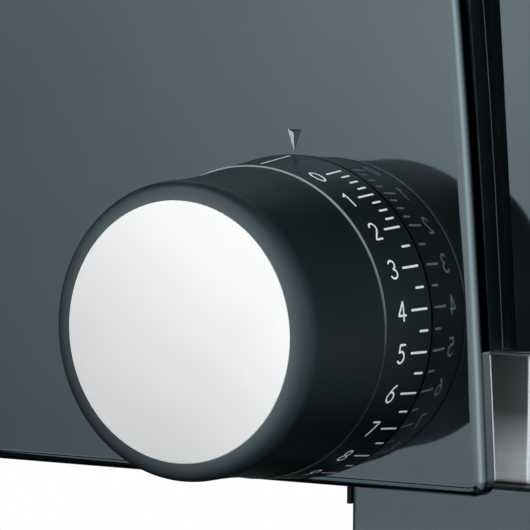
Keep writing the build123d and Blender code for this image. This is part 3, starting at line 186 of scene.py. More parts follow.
# %% [markdown]
# ## Effects that several finishes share
#
# Four effects come back on almost every machine, so each is a node group, built once and given its own
# numbers in each material:
# - *worn edges*: paint and plastic rub thin where a hand or cloth passes. The Bevel node rounds the normal
#   near an edge, and where that differs from the true normal there is an edge. A noise breaks the line up.
# - *moulded grain*: the fine pebbled skin that a spark-eroded mould leaves on plastic, or blasting on metal.
# - *brush lines*: long scratches in one direction, made by squeezing a noise across and stretching it along.
# - *turned lines*: the rings that grinding leaves on a disc, a noise of the radius alone.
#
# The first gives a mask of the worn places. The others give a height for relief, and a slower noise, the
# tone, by which colour and roughness drift.

# %% Worn edges
wear_group, given, gives, w = new_group("worn_edges", {"Width": 0.0004, "Breakup": 180.0}, outputs=("Mask",))
rounded = w.node("Bevel", {"Radius": given["Width"]}, samples=4).outputs[0]
sharp = w.node("NewGeometry").outputs["Normal"]
turned_away = w.math("SUBTRACT", 1.0, w.vector("DOT_PRODUCT", rounded, sharp))
place = w.node("TexCoord").outputs["Object"]
broken = w.ramp(w.noise(place, given["Breakup"], 3.0, 0.6), 0.35, 0.65, 0.25, 1.0)
edge_mask = w.math("MULTIPLY", w.ramp(turned_away, 0.02, 0.2), broken)
wear_group.links.new(edge_mask, gives["Mask"])

# %% Moulded or blasted grain
grain_group, given, gives, w = new_group("moulded_grain", {"Scale": 2500.0, "Patch": 40.0})
place = w.node("TexCoord").outputs["Object"]
cells = w.node("TexVoronoi", {"Vector": place, "Scale": given["Scale"]}, feature="SMOOTH_F1")
fine = w.noise(place, w.math("MULTIPLY", given["Scale"], 1.7), 2.0)
pebbles = w.math("ADD", cells.outputs["Distance"], w.math("MULTIPLY", fine, 0.6))
grain_group.links.new(pebbles, gives["Height"])
grain_group.links.new(w.noise(place, given["Patch"], 3.0, 0.55), gives["Tone"])

# %% Brush lines
brush_group, given, gives, w = new_group("brush_lines", {"Fineness": 3000.0}, vectors=("Stretch",))
place = w.vector("MULTIPLY", w.node("TexCoord").outputs["Object"], given["Stretch"])
coarse = w.math("MULTIPLY", given["Fineness"], 0.08)
brush_group.links.new(w.noise(place, given["Fineness"], 4.0, 0.6), gives["Height"])
brush_group.links.new(w.noise(place, coarse, 3.0, 0.6), gives["Tone"])

# %% Turned lines
turned_group, given, gives, w = new_group("turned_lines", {"Fineness": 4000.0}, vectors=("Centred",))
parts = w.node("SeparateXYZ", {0: given["Centred"]}).outputs
flat = w.node("CombineXYZ", {"X": parts["X"], "Y": 0.0, "Z": parts["Z"]}).outputs[0]
deep = w.math("MULTIPLY", parts["Y"], 0.2)
along = w.node("CombineXYZ", {"X": w.vector("LENGTH", flat), "Y": deep, "Z": 0.0}).outputs[0]
coarse = w.math("MULTIPLY", given["Fineness"], 0.1)
turned_group.links.new(w.noise(along, given["Fineness"], 4.0, 0.65), gives["Height"])
turned_group.links.new(w.noise(along, coarse, 2.0), gives["Tone"])
print("groups:", [g.name for g in bpy.data.node_groups])

# %% [markdown]
# ## One recipe, many finishes
#
# Most of the slicer's finishes are one recipe with other numbers: a colour that drifts a little over the
# surface, a roughness that drifts with it, a fine relief, and edges that show a second, lighter colour where
# they are worn. `finish` builds that recipe, and the numbers that don't change over the surface are set on
# the shader itself.

# %% The common recipe
materials = {}
tone_range = (0.3, 0.7)              # the part of the tone's noise over which a finish drifts
smoothest, roughest = 0.85, 1.2      # shares of the roughness at the two ends of the drift


def use_group(w, group, **values):
    """Places a node group in a material, with its numbers set or wired."""
    return w.node("Group", values, node_tree=group).outputs


def start_material(name, metallic=0.0, ior=1.5, coat=0.0, coat_roughness=0.05, specular=0.5):
    """A material with its Principled shader, whose plain numbers are set on the shader."""
    made = bpy.data.materials.new(name)
    made.use_nodes = True
    shader = made.node_tree.nodes["Principled BSDF"]
    plain_numbers = {"Metallic": metallic, "IOR": ior, "Coat Weight": coat,
                     "Coat Roughness": coat_roughness, "Specular IOR Level": specular}
    for socket, value in plain_numbers.items():
        shader.inputs[socket].default_value = value
    materials[name] = made
    return Wires(made.node_tree), shader.inputs


def finish(name, colour, roughness, drift=0.12, grain=2500.0, brush=None, turned=None, centre=None,
           relief=2e-5, relief_share=0.3, worn=None, worn_width=0.0004, **plain):
    """The common recipe: colour x (1 +- drift), a roughness that drifts too, a relief of grain, brush or
    turned lines, and the worn colour mixed in along edges. `brush` is (stretch, fineness), `turned` the
    fineness of rings round `centre` (x, z), and `worn` is (colour, share)."""
    w, shader = start_material(name, **plain)
    if brush:
        lines = use_group(w, brush_group, Stretch=brush[0], Fineness=brush[1])
    elif turned:
        place = w.node("Mapping", {"Vector": w.node("TexCoord").outputs["Object"],
                                   "Location": (-centre[0], 0.0, -centre[1])}).outputs[0]
        lines = use_group(w, turned_group, Centred=place, Fineness=turned)
    else:
        lines = use_group(w, grain_group, Scale=grain)
    dark = [c * (1 - drift) for c in colour]
    light = [min(1.0, c * (1 + drift)) for c in colour]
    shade = w.mix(w.ramp(lines["Tone"], *tone_range), dark, light)
    if worn:
        mask = use_group(w, wear_group, Width=worn_width)["Mask"]
        shade = w.mix(w.math("MULTIPLY", mask, worn[1]), shade, worn[0])
    drifting = w.ramp(lines["Tone"], *tone_range, roughness * smoothest, roughness * roughest)
    bump = w.node("Bump", {"Height": lines["Height"], "Distance": relief, "Strength": relief_share})
    w.tree.links.new(shade, shader["Base Color"])
    w.tree.links.new(drifting, shader["Roughness"])
    w.tree.links.new(bump.outputs[0], shader["Normal"])


print("recipe ready")

# %% [markdown]
# ## The finishes
#
# The stop plate is a gloss titan grey that mirrors the knob almost as a dark mirror would: in the photograph,
# the scale's digits can be read in it. A dielectric gloss reflects only 4% there, so this is a metallic
# finish with a dark tint. The stop panel has the same finish under a name of its own, because its rounded
# edge gets painted shade further down. The knob is satin black, with a bright blasted disc. The beam is a
# polished extrusion, and what lies outside the photograph has what such slicers have: ground steel, cast
# metal, acetal gears and copper.

# %% Finishes that the photograph shows
for name in ("titan_gloss", "titan_panel"):
    finish(name, (0.112, 0.146, 0.166), 0.045, drift=0.03, grain=900.0, relief=1.5e-6, relief_share=0.15,
           metallic=1.0, worn=((0.25, 0.27, 0.275), 0.5), worn_width=0.0005)
finish("knob_scale", (0.0045, 0.0095, 0.0120), 0.42, grain=3200.0, relief=6e-6, specular=0.20,
       worn=((0.03, 0.04, 0.045), 0.5))
finish("knob_grip", (0.0036, 0.0088, 0.0115), 0.44, grain=2600.0, relief=1.2e-5, specular=0.18,
       worn=((0.03, 0.04, 0.045), 0.35))
finish("knob_trim", (0.44, 0.48, 0.49), 0.32, drift=0.1, grain=1500.0, relief=2e-6, metallic=0.3)
finish("knob_disc", (0.94, 0.95, 0.955), 0.45, drift=0.02, grain=2300.0, relief=2.4e-5, relief_share=0.35,
       metallic=0.25)
# the worn edges' lighter colour is partly real wear and partly a painted highlight, for the thin light lines
# along the spacer's edges
finish("black_plastic", (0.0035, 0.0065, 0.0080), 0.4, grain=2200.0, relief=1.2e-5, specular=0.18,
       worn=((0.11, 0.125, 0.135), 0.8), worn_width=0.0006)
finish("polished_aluminium", (0.84, 0.92, 0.96), 0.3, drift=0.03, brush=((0.02, 1.0, 1.0), 3500.0),
       relief=3e-6, metallic=0.15)
print("finishes in view:", len(materials))

# %% [markdown]
# Light and shade are painted into some of these finishes. The blasted disc has painted light at its upper
# right, and the pale line has painted shade towards its lower side. The black scale ring and the grip have
# painted shade at their bottom and top, and the grip also on its lower left. The beam's front face has painted
# shade near its top, and the panel's rounded edge has painted shade before its flat side begins. The grip's
# front rim has a painted highlight, strongest next to the disc. `fade` multiplies a finish's colour by a share
# that changes along a direction of the object, on all faces or only on those that face a given way. Two more
# helpers mix in a second, lighter colour in the same way, as a painted highlight.
# Places along a direction are in millimetres from where the knob's axis meets the panel.

# %% Painted light and shade on the finishes
facing_range = (0.5, 0.9)            # from where a face counts a little to where it counts as turned that way


def recolour(name, change):
    """Puts change(w, colour) between a finish's colour and its shader."""
    tree = materials[name].node_tree
    w, colour_in = Wires(tree), tree.nodes["Principled BSDF"].inputs["Base Color"]
    tree.links.new(change(w, colour_in.links[0].from_socket), colour_in)


def from_knob(w):
    """The shaded point, measured from where the knob's axis meets the panel."""
    return w.vector("SUBTRACT", w.node("TexCoord").outputs["Object"], tuple(knob_point))


def fade(name, way, start, end, first, last, facing=None):
    """Painted light and shade: colour x a share that goes from first to last as the place along `way` goes
    from start to end.
    """
    def faded(w, colour):
        share = w.ramp(w.vector("DOT_PRODUCT", from_knob(w), way), start * MM, end * MM, first, last)
        if facing:
            turned = w.vector("DOT_PRODUCT", w.node("NewGeometry").outputs["Normal"], facing)
            share = w.ramp(turned, *facing_range, 1.0, share)
        return w.node("VectorMath", {0: colour, 3: share}, operation="SCALE").outputs[0]

    recolour(name, faded)


def rub(name, way, start, end, second):
    """A painted highlight: colour mixed with a second one, from none to all as the place along `way` goes from
    start to end.
    """
    def rubbed(w, colour):
        share = w.ramp(w.vector("DOT_PRODUCT", from_knob(w), way), start * MM, end * MM)
        return w.mix(share, colour, second)

    recolour(name, rubbed)


def rub_round(name, outer, inner, second):
    """A painted highlight: colour mixed with a second one, from none to all as the distance from the knob's
    axis shrinks.
    """
    def rubbed(w, colour):
        radius = w.vector("LENGTH", w.vector("MULTIPLY", from_knob(w), (1.0, 0.0, 1.0)))
        return w.mix(w.ramp(radius, inner * MM, outer * MM, 1.0, 0.0), colour, second)

    recolour(name, rubbed)


upward, forward, inward, rightward = (0, 0, 1), (0, -1, 0), (0, 1, 0), (1, 0, 0)
disc_low, disc_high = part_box("knob_disc")
disc_radius = (disc_high.x - disc_low.x) / 2 / MM
grip_length = (panel_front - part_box("knob_grip")[0].y) / MM
# painted shade on the panel's rounded edge: the share below is what it keeps of the panel's colour
painted_edge_shade = 0.38                     # share of the panel's colour that its rounded edge keeps

# painted light: the disc lighter at its upper right and darker at its lower left
fade("knob_disc", (0.6, 0, 0.8), -22, 18, 0.74, 1.07)
# painted shade: the pale line darker towards its lower side
fade("knob_trim", upward, -5, 22, 0.06, 1.0)
# painted shade: the black scale ring darker at its bottom and at its top
fade("knob_scale", upward, -26, 4, 0.3, 1.0)
fade("knob_scale", upward, 8, 28, 1.0, 0.6)
# painted shade at the grip's bottom and top and on its lower left, and painted highlights on its front rim and
# next to the disc
fade("knob_grip", (0.3, 0, 1.0), -26, 4, 0.2, 1.0)
rub("knob_grip", forward, grip_length - 4.5, grip_length, (0.023, 0.040, 0.047))
fade("knob_grip", upward, 8, 28, 1.0, 0.5)
rub_round("knob_grip", disc_radius + 3, disc_radius, (0.084, 0.117, 0.133))
fade("knob_grip", (0.8, 0, 0.6), -27, 6, 0.42, 1.0)
# painted shade: the beam's front face darker near its top and a little lighter at its bottom
fade("polished_aluminium", upward, -27.5, -17.5, 1.1, 0.16, facing=forward)
# painted shade on the panel's rounded edge: faces turned right, from about 1 to 2 mm behind its front
fade("titan_panel", inward, 0.6, 1.0, 1.0, painted_edge_shade, facing=rightward)
fade("titan_panel", inward, 1.9, 2.4, 1.0, 1.0 / painted_edge_shade, facing=rightward)
print("the grip's front is", round(grip_length, 1), "mm from the panel, the disc's radius", disc_radius)

# %% Finishes outside the photograph
finish("rubber", (0.026, 0.026, 0.027), 0.75, grain=1600.0, relief=3e-5, worn=((0.07, 0.07, 0.072), 0.6))
finish("cast_aluminium", (0.52, 0.53, 0.54), 0.48, drift=0.1, grain=900.0, relief=5e-5, metallic=1.0)
finish("steel", (0.55, 0.56, 0.57), 0.3, brush=((1.0, 0.03, 1.0), 2600.0), relief=4e-6, metallic=1.0)
finish("bronze", (0.58, 0.41, 0.21), 0.4, grain=1800.0, relief=1.5e-5, metallic=1.0)
finish("polished_steel", (0.76, 0.77, 0.78), 0.12, drift=0.03, brush=((0.04, 1.0, 1.0), 2200.0),
       relief=2e-6, metallic=1.0)
finish("blade_steel", (0.66, 0.67, 0.68), 0.2, drift=0.08, turned=5200.0, centre=(blade_x, blade_z),
       relief=4e-6, metallic=1.0)
finish("table_steel", (0.62, 0.63, 0.64), 0.28, drift=0.06, brush=((1.0, 0.02, 1.0), 2400.0),
       relief=4e-6, metallic=1.0)
finish("gear_plastic", (0.70, 0.68, 0.61), 0.45, drift=0.05, grain=1200.0, relief=1e-5, ior=1.48)
finish("motor_iron", (0.17, 0.17, 0.18), 0.5, brush=((1.0, 1.0, 1.0), 1500.0), relief=2e-5, metallic=1.0)
finish("copper", (0.60, 0.27, 0.13), 0.28, brush=((0.2, 1.0, 0.2), 1400.0), relief=4e-5, metallic=1.0,
       coat=0.4)
finish("board", (0.03, 0.17, 0.09), 0.3, drift=0.25, grain=500.0, relief=2e-5, coat=0.5)
finish("button_grey", (0.27, 0.30, 0.32), 0.25, drift=0.04, grain=1800.0, relief=2e-6, coat=0.3,
       worn=((0.42, 0.44, 0.45), 0.5))
finish("print_white", (0.86, 0.88, 0.88), 0.5, drift=0.03, grain=3000.0, relief=4e-6)
print("finishes:", sorted(materials))

# %% [markdown]
# ## Dressing the solids
#
# The record names a material slot for each solid, and each slot now has a finish of the same name. Only the
# stop panel takes its own. Assigning the finish to the object's own slots changes how it looks and nothing
# else.

# %% Dress every node
for row in frame["record"]["subparts"]:
    mesh = nodes[row["node"]].data
    mesh.materials.clear()
    mesh.materials.append(materials["titan_panel" if row["node"] == "stop_panel" else row["material_slot"]])

# %% [markdown]
# ## Building new pieces as surfaces
#
# A new piece here is a grid of points worked out with numpy, row by row. `grid_faces` joins neighbouring
# points with four-sided faces, and can close the grid round on itself. `add_piece` puts both into a mesh in
# one call and lets the new object ride on a body.

# %% Grid surfaces
def add_piece(name, points, faces, finish_name, body, smooth=True):
    """Puts points (n, 3) and faces (m, 4) into a new object that rides on a body."""
    mesh = bpy.data.meshes.new(name)
    mesh.from_pydata(points.tolist(), [], faces.tolist())
    mesh.polygons.foreach_set("use_smooth", np.full(len(mesh.polygons), smooth))
    mesh.materials.append(materials[finish_name])
    mesh.update()
    made = bpy.data.objects.new(name, mesh)
    bpy.context.scene.collection.objects.link(made)
    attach(made, body)
    return made


def grid_faces(rows, columns, wrap=False, start=0):
    """Four-sided faces of a rows x columns grid of points. wrap joins the last column to the first."""
    r, c = np.meshgrid(np.arange(rows - 1), np.arange(columns if wrap else columns - 1), indexing="ij")
    r, c = r.ravel(), c.ravel()
    d = (c + 1) % columns
    corners = [r * columns + c, r * columns + d, (r + 1) * columns + d, (r + 1) * columns + c]
    return start + np.stack(corners, axis=1)


def put_together(grids):
    """One set of points and faces from many (points, faces), each numbered on from the one before."""
    starts = np.cumsum([0] + [len(points) for points, _ in grids])
    points = np.concatenate([points for points, _ in grids])
    return points, np.concatenate([faces + start for (_, faces), start in zip(grids, starts)])


print("grid helpers ready")

# %% [markdown]
# ## The printed scale
#
# The scale is pad-printed on the ring: a long tick and a number for each millimetre of slice, quarter ticks
# up to 2 and half ticks after that, and one line for the locked place. A text object wrapped on a cone would
# be heavy and would need a font, so the digits are drawn as pen strokes, as the print's own thin rounded
# letters are: each stroke is a centreline, and the pen's round tip gives it width.
#
# On the ring, "up" for a digit is the way the angle grows, and "right" is towards the panel.

# %% Centrelines of the digits
def arc(cx, cy, rx, ry, start, end, steps):
    """Points of an ellipse's arc between two angles in degrees."""
    turn = np.radians(np.linspace(start, end, steps))
    return np.stack([cx + rx * np.cos(turn), cy + ry * np.sin(turn)], axis=1)


def joined(*runs):
    return np.concatenate([np.atleast_2d(np.array(run, float)) for run in runs])


# Each digit is a list of centrelines in a box from -1 to 1 both ways
digit_strokes = {
    "0": [arc(0, 0, 0.92, 1, 90, 450, 33)],
    "1": [joined((-0.62, 0.56), (-0.25, 0.74), (0.12, 1.0), (0.12, -1.0))],
    "2": [joined(arc(-0.05, 0.42, 0.88, 0.58, 160, -30, 16), (-0.85, -1.0), (0.95, -1.0))],
    "3": [joined(arc(-0.1, 0.51, 0.85, 0.49, 150, -90, 14), arc(-0.1, -0.49, 0.98, 0.51, 90, -150, 16))],
    "4": [joined((0.3, 1.0), (-1.05, -0.45), (1.1, -0.45)), joined((0.42, 1.0), (0.42, -1.0))],
    "5": [joined((0.85, 1.0), (-0.62, 1.0), (-0.75, 0.12), arc(-0.1, -0.37, 0.98, 0.63, 115, -140, 18))],
    "6": [joined((0.75, 1.0), (0.1, 0.72), (-0.55, 0.2), arc(0.0, -0.38, 0.92, 0.62, 150, 510, 26))],
    "7": [joined((-0.95, 1.0), (0.95, 1.0), (-0.3, -1.0))],
    "8": [arc(0, 0.5, 0.75, 0.5, -90, 270, 24), arc(0, -0.5, 0.95, 0.5, 90, 450, 24)],
    "9": [joined((-0.75, -1.0), (-0.1, -0.72), (0.55, -0.2), arc(0.0, 0.38, 0.92, 0.62, -30, 330, 26))],
}
print("digits:", len(digit_strokes), "strokes:", sum(len(s) for s in digit_strokes.values()))

# %% Ribbons: a pen with a round tip
point_spacing = 0.8                  # along a stroke, as a share of the pen's radius
thinnest = 0.02                      # half width at the very end of a tip, as a share of the pen's radius


def resampled(line, step):
    """The same line with points a step apart, measured along it."""
    length = np.concatenate([[0], np.cumsum(np.linalg.norm(np.diff(line, axis=0), axis=1))])
    places = np.linspace(0, length[-1], max(2, int(np.ceil(length[-1] / step)) + 1))
    return np.stack([np.interp(places, length, line[:, k]) for k in range(2)], axis=1)


def ribbon(line, width, tip_steps=5):
    """Left, middle and right points along a stroke. The half width is the pen's radius, and over each end it
    falls as the root of radius squared less the distance past the end squared, which draws the round tip."""
    radius = width / 2
    line = resampled(line, radius * point_spacing)
    way = np.gradient(line, axis=0)
    way /= np.linalg.norm(way, axis=1)[:, None]
    past = radius * np.sin(np.linspace(0, pi / 2, tip_steps + 1)[1:])
    tip = np.sqrt(np.maximum(radius**2 - past**2, (radius * thinnest) ** 2))
    before, after = line[:1] - way[:1] * past[::-1, None], line[-1:] + way[-1:] * past[:, None]
    line_all = np.concatenate([before, line, after])
    way_all = np.concatenate([np.repeat(way[:1], tip_steps, 0), way, np.repeat(way[-1:], tip_steps, 0)])
    half = np.concatenate([tip[::-1], np.full(len(line), radius), tip])
    side = np.stack([-way_all[:, 1], way_all[:, 0]], axis=1) * half[:, None]
    return np.stack([line_all + side, line_all, line_all - side], axis=1)


print("a tick has", ribbon(np.array([[0.0, 0.0], [5.0, 0.0]]), 0.45).shape[0], "cross sections")

# %% Lay the strokes on the ring
ring_height = 14.43                  # where the pale ring starts, in millimetres from the panel
base_radius, top_radius = 31.43, 30.0
first_angle, angle_step = 67.7, 15.35    # degrees: the place of 0, and from one number to the next
locked_angle = 90.0
last_number = 20
tick_width, digit_width = 0.46, 0.42
locked_tick, long_tick, short_tick = (0.9, 11.1), (1.45, 6.1), (1.5, 3.75)   # heights at their ends
digit_height, digit_half, digit_middle = 3.95, 1.06, 9.19
pair_step = 2.75                     # between the two digits of a number
narrow_share = {"5": 0.95}           # the print's 5 is a little narrower than its other digits
print_lean = 0.75                    # the print sits this much higher at the top of the ring, as in the photo
print_proud = 0.02                   # how far the print stands off the ring


def on_ring(points, angle):
    """Points (right, up) in millimetres round a place at an angle, laid on the cone: up runs round it, right
    lowers the height. The cone's radius falls evenly from the base to the pale ring."""
    height = points[..., 0] + print_lean * sin(radians(angle))
    radius = base_radius + (top_radius - base_radius) * height / ring_height + print_proud
    turn = np.radians(angle) + points[..., 1] / radius
    return np.stack([knob_x + radius * np.cos(turn) * MM, panel_front - height * MM,
                     knob_z + radius * np.sin(turn) * MM], axis=-1)


def tick(ends, angle):
    return np.array([[height, 0.0] for height in ends]), tick_width, angle


def scale_strokes():
    """Every stroke of the scale as (centreline in height and up, pen width, angle)."""
    yield tick(locked_tick, locked_angle)
    for number in range(last_number + 1):
        angle = first_angle - angle_step * number
        yield tick(long_tick, angle)
        parts = 4 if number < 2 else 2
        for part in range(1, parts if number < last_number else 1):
            yield tick(short_tick, angle - angle_step * part / parts)
        text = str(number)
        for place, digit in enumerate(text):
            centre = digit_middle + ((len(text) - 1) / 2 - place) * pair_step
            half = digit_half * narrow_share.get(digit, 1.0)
            for line in digit_strokes[digit]:
                up_line = line[:, 1] * (digit_height - digit_width) / 2
                yield np.stack([centre - line[:, 0] * half, up_line], axis=1), digit_width, angle


ribbons = [(ribbon(line, width), angle) for line, width, angle in scale_strokes()]
points, faces = put_together([(on_ring(grid, angle).reshape(-1, 3), grid_faces(len(grid), 3))
                              for grid, angle in ribbons])
quad = points[faces]
normal = np.cross(quad[:, 1] - quad[:, 0], quad[:, 3] - quad[:, 0])
outward = (quad.mean(axis=1) - np.array(knob_point)) * (1.0, 0.0, 1.0)
inside_out = (normal * outward).sum(axis=1) < 0
faces[inside_out] = faces[inside_out][:, ::-1]
add_piece("scale_print", points, faces, "print_white", "knob")
print("scale print:", len(points), "points,", len(faces), "faces")

# %% [markdown]
# ## The pointer on the stop panel
#
# A small raised pointer is moulded into the panel above the knob. In CAD it is a low pyramid with three
# flanks. The left one catches the light and the upper one lies in shade. On a part this small the mirrored
# room isn't enough to show it, so the light and shade are painted: each flank gets its own thin skin, a grid
# that runs from one corner to the opposite edge, with a painted highlight on the left flank, painted shade on
# the upper one and a milder painted shade on the right one.

# %% Skins on the pointer's flanks
pointer_tip, pointer_top, pointer_half = 32.0, 36.35, 1.55       # heights over the knob's axis, half width
pointer_hip, pointer_relief = 0.65, 0.35                         # the peak's depth under the top, its height
skin_lift = 0.02
skin_steps = 6
# painted highlight, painted shade and milder painted shade for the pointer's three flanks
finish("pointer_light", (0.62, 0.67, 0.68), 0.35, drift=0.05, grain=2600.0, relief=2e-6)
finish("pointer_shade", (0.006, 0.008, 0.009), 0.5, drift=0.05, grain=2600.0, relief=2e-6, specular=0.2)
finish("pointer_dim", (0.046, 0.060, 0.066), 0.4, drift=0.05, grain=2600.0, relief=2e-6)


def flank_skin(corner, edge_start, edge_end):
    """A triangle as a grid: corner x (1 - u) + (edge_start x (1 - v) + edge_end x v) x u, lifted off the
    panel. Corners are (right, off the panel, up) in millimetres from the knob's place on it."""
    steps = np.linspace(0, 1, skin_steps)
    u, v = [grid[..., None] for grid in np.meshgrid(steps, steps, indexing="ij")]
    edge = np.array(edge_start) * (1 - v) + np.array(edge_end) * v
    spot = (np.array(corner) * (1 - u) + edge * u).reshape(-1, 3)
    return np.array(knob_point) + (spot + (0.0, skin_lift, 0.0)) * (MM, -MM, MM)


tip, peak = (0.0, 0.0, pointer_tip), (0.0, pointer_relief, pointer_top - pointer_hip)
left_corner, right_corner = (-pointer_half, 0.0, pointer_top), (pointer_half, 0.0, pointer_top)
for name, corners in {"pointer_light": (tip, peak, left_corner), "pointer_dim": (tip, right_corner, peak),
                      "pointer_shade": (peak, right_corner, left_corner)}.items():
    add_piece(name, flank_skin(*corners), grid_faces(skin_steps, skin_steps), name, "stop_plate",
              smooth=False)
print("pointer", pointer_top - pointer_tip, "mm tall")

# %% [markdown]
# ## Two painted highlights beside the panel
#
# The spacer's step and the panel's own rear edge show in the photograph as thin light lines, where these
# edges catch the light. Each is painted as a highlight, on a line finer than a bevel in CAD would be. It is
# made as a bead: a thin round tube that runs along the edge and lies half in it. The edge's line is read from
# the solid's own points at that depth.

# %% Painted highlights as beads along edges
# painted highlights: a dim one on the spacer's step and a bright one on the panel's rear edge
finish("dim_painted_highlight", (0.080, 0.092, 0.094), 0.35, drift=0.25, grain=900.0, relief=1e-6)
finish("bright_painted_highlight", (0.72, 0.76, 0.78), 0.3, drift=0.1, grain=900.0, relief=1e-6)
same_depth, same_height, same_edge = 0.1 * MM, 6 * MM, 0.6 * MM  # how near counts as on the edge
right_of_knob = knob_x + 20 * MM     # every right edge lies beyond this
bead_rows, bead_sides = 60, 10


def right_edge(node, depth, low, high):
    """Points up a solid's outermost right edge at a depth behind the panel's front, even in height."""
    mesh = nodes[node].data
    spots = np.empty(len(mesh.vertices) * 3)
    mesh.vertices.foreach_get("co", spots)
    x, y, z = spots.reshape(-1, 3).T
    chosen = (np.abs(y - panel_front - depth) < same_depth) & (x > right_of_knob)
    x, z = x[chosen], z[chosen]
    beside = np.abs(z[:, None] - z[None, :]) < same_height
    outermost = np.where(beside, x[None, :], -np.inf).max(axis=1)
    x, z = x[x > outermost - same_edge], z[x > outermost - same_edge]
    order = np.argsort(z)
    height = np.linspace(low, high, bead_rows)
    edge_x = np.interp(height, z[order], x[order])
    return np.stack([edge_x, np.full(bead_rows, panel_front + depth), height], axis=1)


def bead(line, radius):
    """A tube of circles, radius x (cos, sin) across, along a line that runs upwards, pointed at its ends."""
    angle = np.linspace(0, tau, bead_sides, endpoint=False)
    size = np.full(len(line), radius)
    size[[0, -1]] = 0.0
    ring = np.stack([np.cos(angle), np.sin(angle), np.zeros(bead_sides)], axis=1)
    spot = line[:, None, :] + size[:, None, None] * ring[None, :, :]
    return spot.reshape(-1, 3), grid_faces(len(line), bead_sides, wrap=True)


# Piece, finish, slot, solid, then millimetres: depth, lowest and highest place from the knob's axis, radius
for name, finish_name, slot, node, depth, low, high, radius in (
        ("spacer_painted_highlight", "dim_painted_highlight", "black_plastic", "spacer_frame", 9.8, -5.6, 100, 0.14),
        ("panel_painted_highlight", "bright_painted_highlight", "titan_gloss", "stop_panel", 4.8, -29.5, -5.2, 0.13)):
    line = right_edge(node, depth * MM, knob_z + low * MM, knob_z + high * MM)
    points, faces = bead(line, radius * MM)
    add_piece(name, points, faces, finish_name, "stop_plate")
    print(name, "from", [round(c, 4) for c in line[0]], "to", [round(c, 4) for c in line[-1]])

# %% [markdown]
# ## Screw heads
#
# In CAD the tower's screws have plain discs for heads. A real one is a low dome with a cross-shaped recess.
# The head is a surface of radius and angle: a dome, less a cross whose walls slope, as a driver's tip does.
# All eight heads are one piece, four on the motor cover and four on the back plate.

# %% Cross-recessed heads over the plain discs
head_radius, head_rise = 3.6 * MM, 0.8 * MM
dome_drop = 0.45                     # how far the dome falls to its rim, as a share of its rise
cross_reach, cross_slenderness = 0.62, 4.2   # an arm's length over the radius, and over its half width
wall_share, recess_share = 0.12, 0.9         # a recess wall's run over the radius, its depth over the rise
rim_sink = 0.1                               # the rim ends this share of the rise under the disc's face
head_rings, head_steps = 22, 72
first_ring, ring_crowding = 0.04, 0.9        # rings lie at shares of the radius from first_ring to 1, to a
                                             # power that below 1 sets them closer towards the rim


def screw_head(centre, facing):
    """A dome of rise x (1 - drop x (r / radius)^4), less a cross. `facing` is +1 for a head that looks along
    +Y, and -1 for one that looks along -Y, whose faces are turned over."""
    share = np.concatenate([[0.0], np.linspace(first_ring, 1.0, head_rings) ** ring_crowding, [1.0]])
    angle = np.linspace(0, tau, head_steps, endpoint=False)
    r, t = np.meshgrid(share, angle, indexing="ij")
    x, z = head_radius * r * np.cos(t), head_radius * r * np.sin(t)
    wide, tall = np.abs(x), np.abs(z)
    arm = np.minimum(np.maximum(wide, tall * cross_slenderness), np.maximum(tall, wide * cross_slenderness))
    cut = np.clip((head_radius * cross_reach - arm) / (head_radius * wall_share), 0.0, 1.0)
    height = head_rise * (1 - dome_drop * r**4 - cut * recess_share)
    height[-1] = -rim_sink * head_rise
    faces = grid_faces(len(share), head_steps, wrap=True)
    spot = np.stack([centre[0] + x, centre[1] + facing * height, centre[2] + z], axis=-1).reshape(-1, 3)
    return spot, faces if facing > 0 else faces[:, ::-1]


screws_low, screws_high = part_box("tower_screws")
left_x, right_x = screws_low.x + head_radius, screws_high.x - head_radius
low_z, high_z = screws_low.z + head_radius, screws_high.z - head_radius
head_spots = [(left_x, low_z), (right_x, low_z), (left_x, blade_z), (right_x, high_z)]
points, faces = put_together([screw_head((x, y, z), facing) for x, z in head_spots
                              for y, facing in ((screws_low.y, -1), (screws_high.y, 1))])
add_piece("screw_heads", points, faces, "steel", "frame")
print("screw heads:", len(points))

# %% [markdown]
# ## The lead screw's thread
#
# The lead screw is a plain bar in CAD. Its thread is what moves the stop plate, so it is drawn here as one
# surface: the radius falls and rises once for each turn and each pitch, which winds the groove round the bar.
# It is drawn finer than the steep thread of the real screw.

# %% A threaded bar
thread_pitch, thread_depth = 2 * MM, 0.7 * MM
rows_per_pitch, thread_steps = 10, 40


def threaded_bar(low, high, axis_x, axis_z, radius):
    """radius - depth x (1 - cos(tau x place / pitch - angle)) / 2, with a flat closed end at both sides."""
    rows = int((high - low) / thread_pitch * rows_per_pitch)
    turn = np.linspace(0, tau, thread_steps, endpoint=False)
    place, angle = np.meshgrid(np.linspace(low, high, rows), turn, indexing="ij")
    around = radius - thread_depth * (1 - np.cos(tau * (place / thread_pitch) - angle)) / 2
    around[0], around[-1] = radius - thread_depth, radius - thread_depth
    around = np.pad(around, ((1, 1), (0, 0)))
    place, angle = [np.pad(grid, ((1, 1), (0, 0)), mode="edge") for grid in (place, angle)]
    spot = np.stack([axis_x + around * np.cos(angle), place, axis_z + around * np.sin(angle)], axis=-1)
    return spot.reshape(-1, 3), grid_faces(rows + 2, thread_steps, wrap=True)[:, ::-1]


bar_low, bar_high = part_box("lead_screw")
bar_x, bar_z = (bar_low.x + bar_high.x) / 2, (bar_low.z + bar_high.z) / 2
points, faces = threaded_bar(bar_low.y, bar_high.y, bar_x, bar_z, (bar_high.x - bar_low.x) / 2)
thread = add_piece("lead_screw_thread", points, faces, "steel", "lead_screw_set")
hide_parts("lead_screw")
print("thread:", len(faces), "faces")

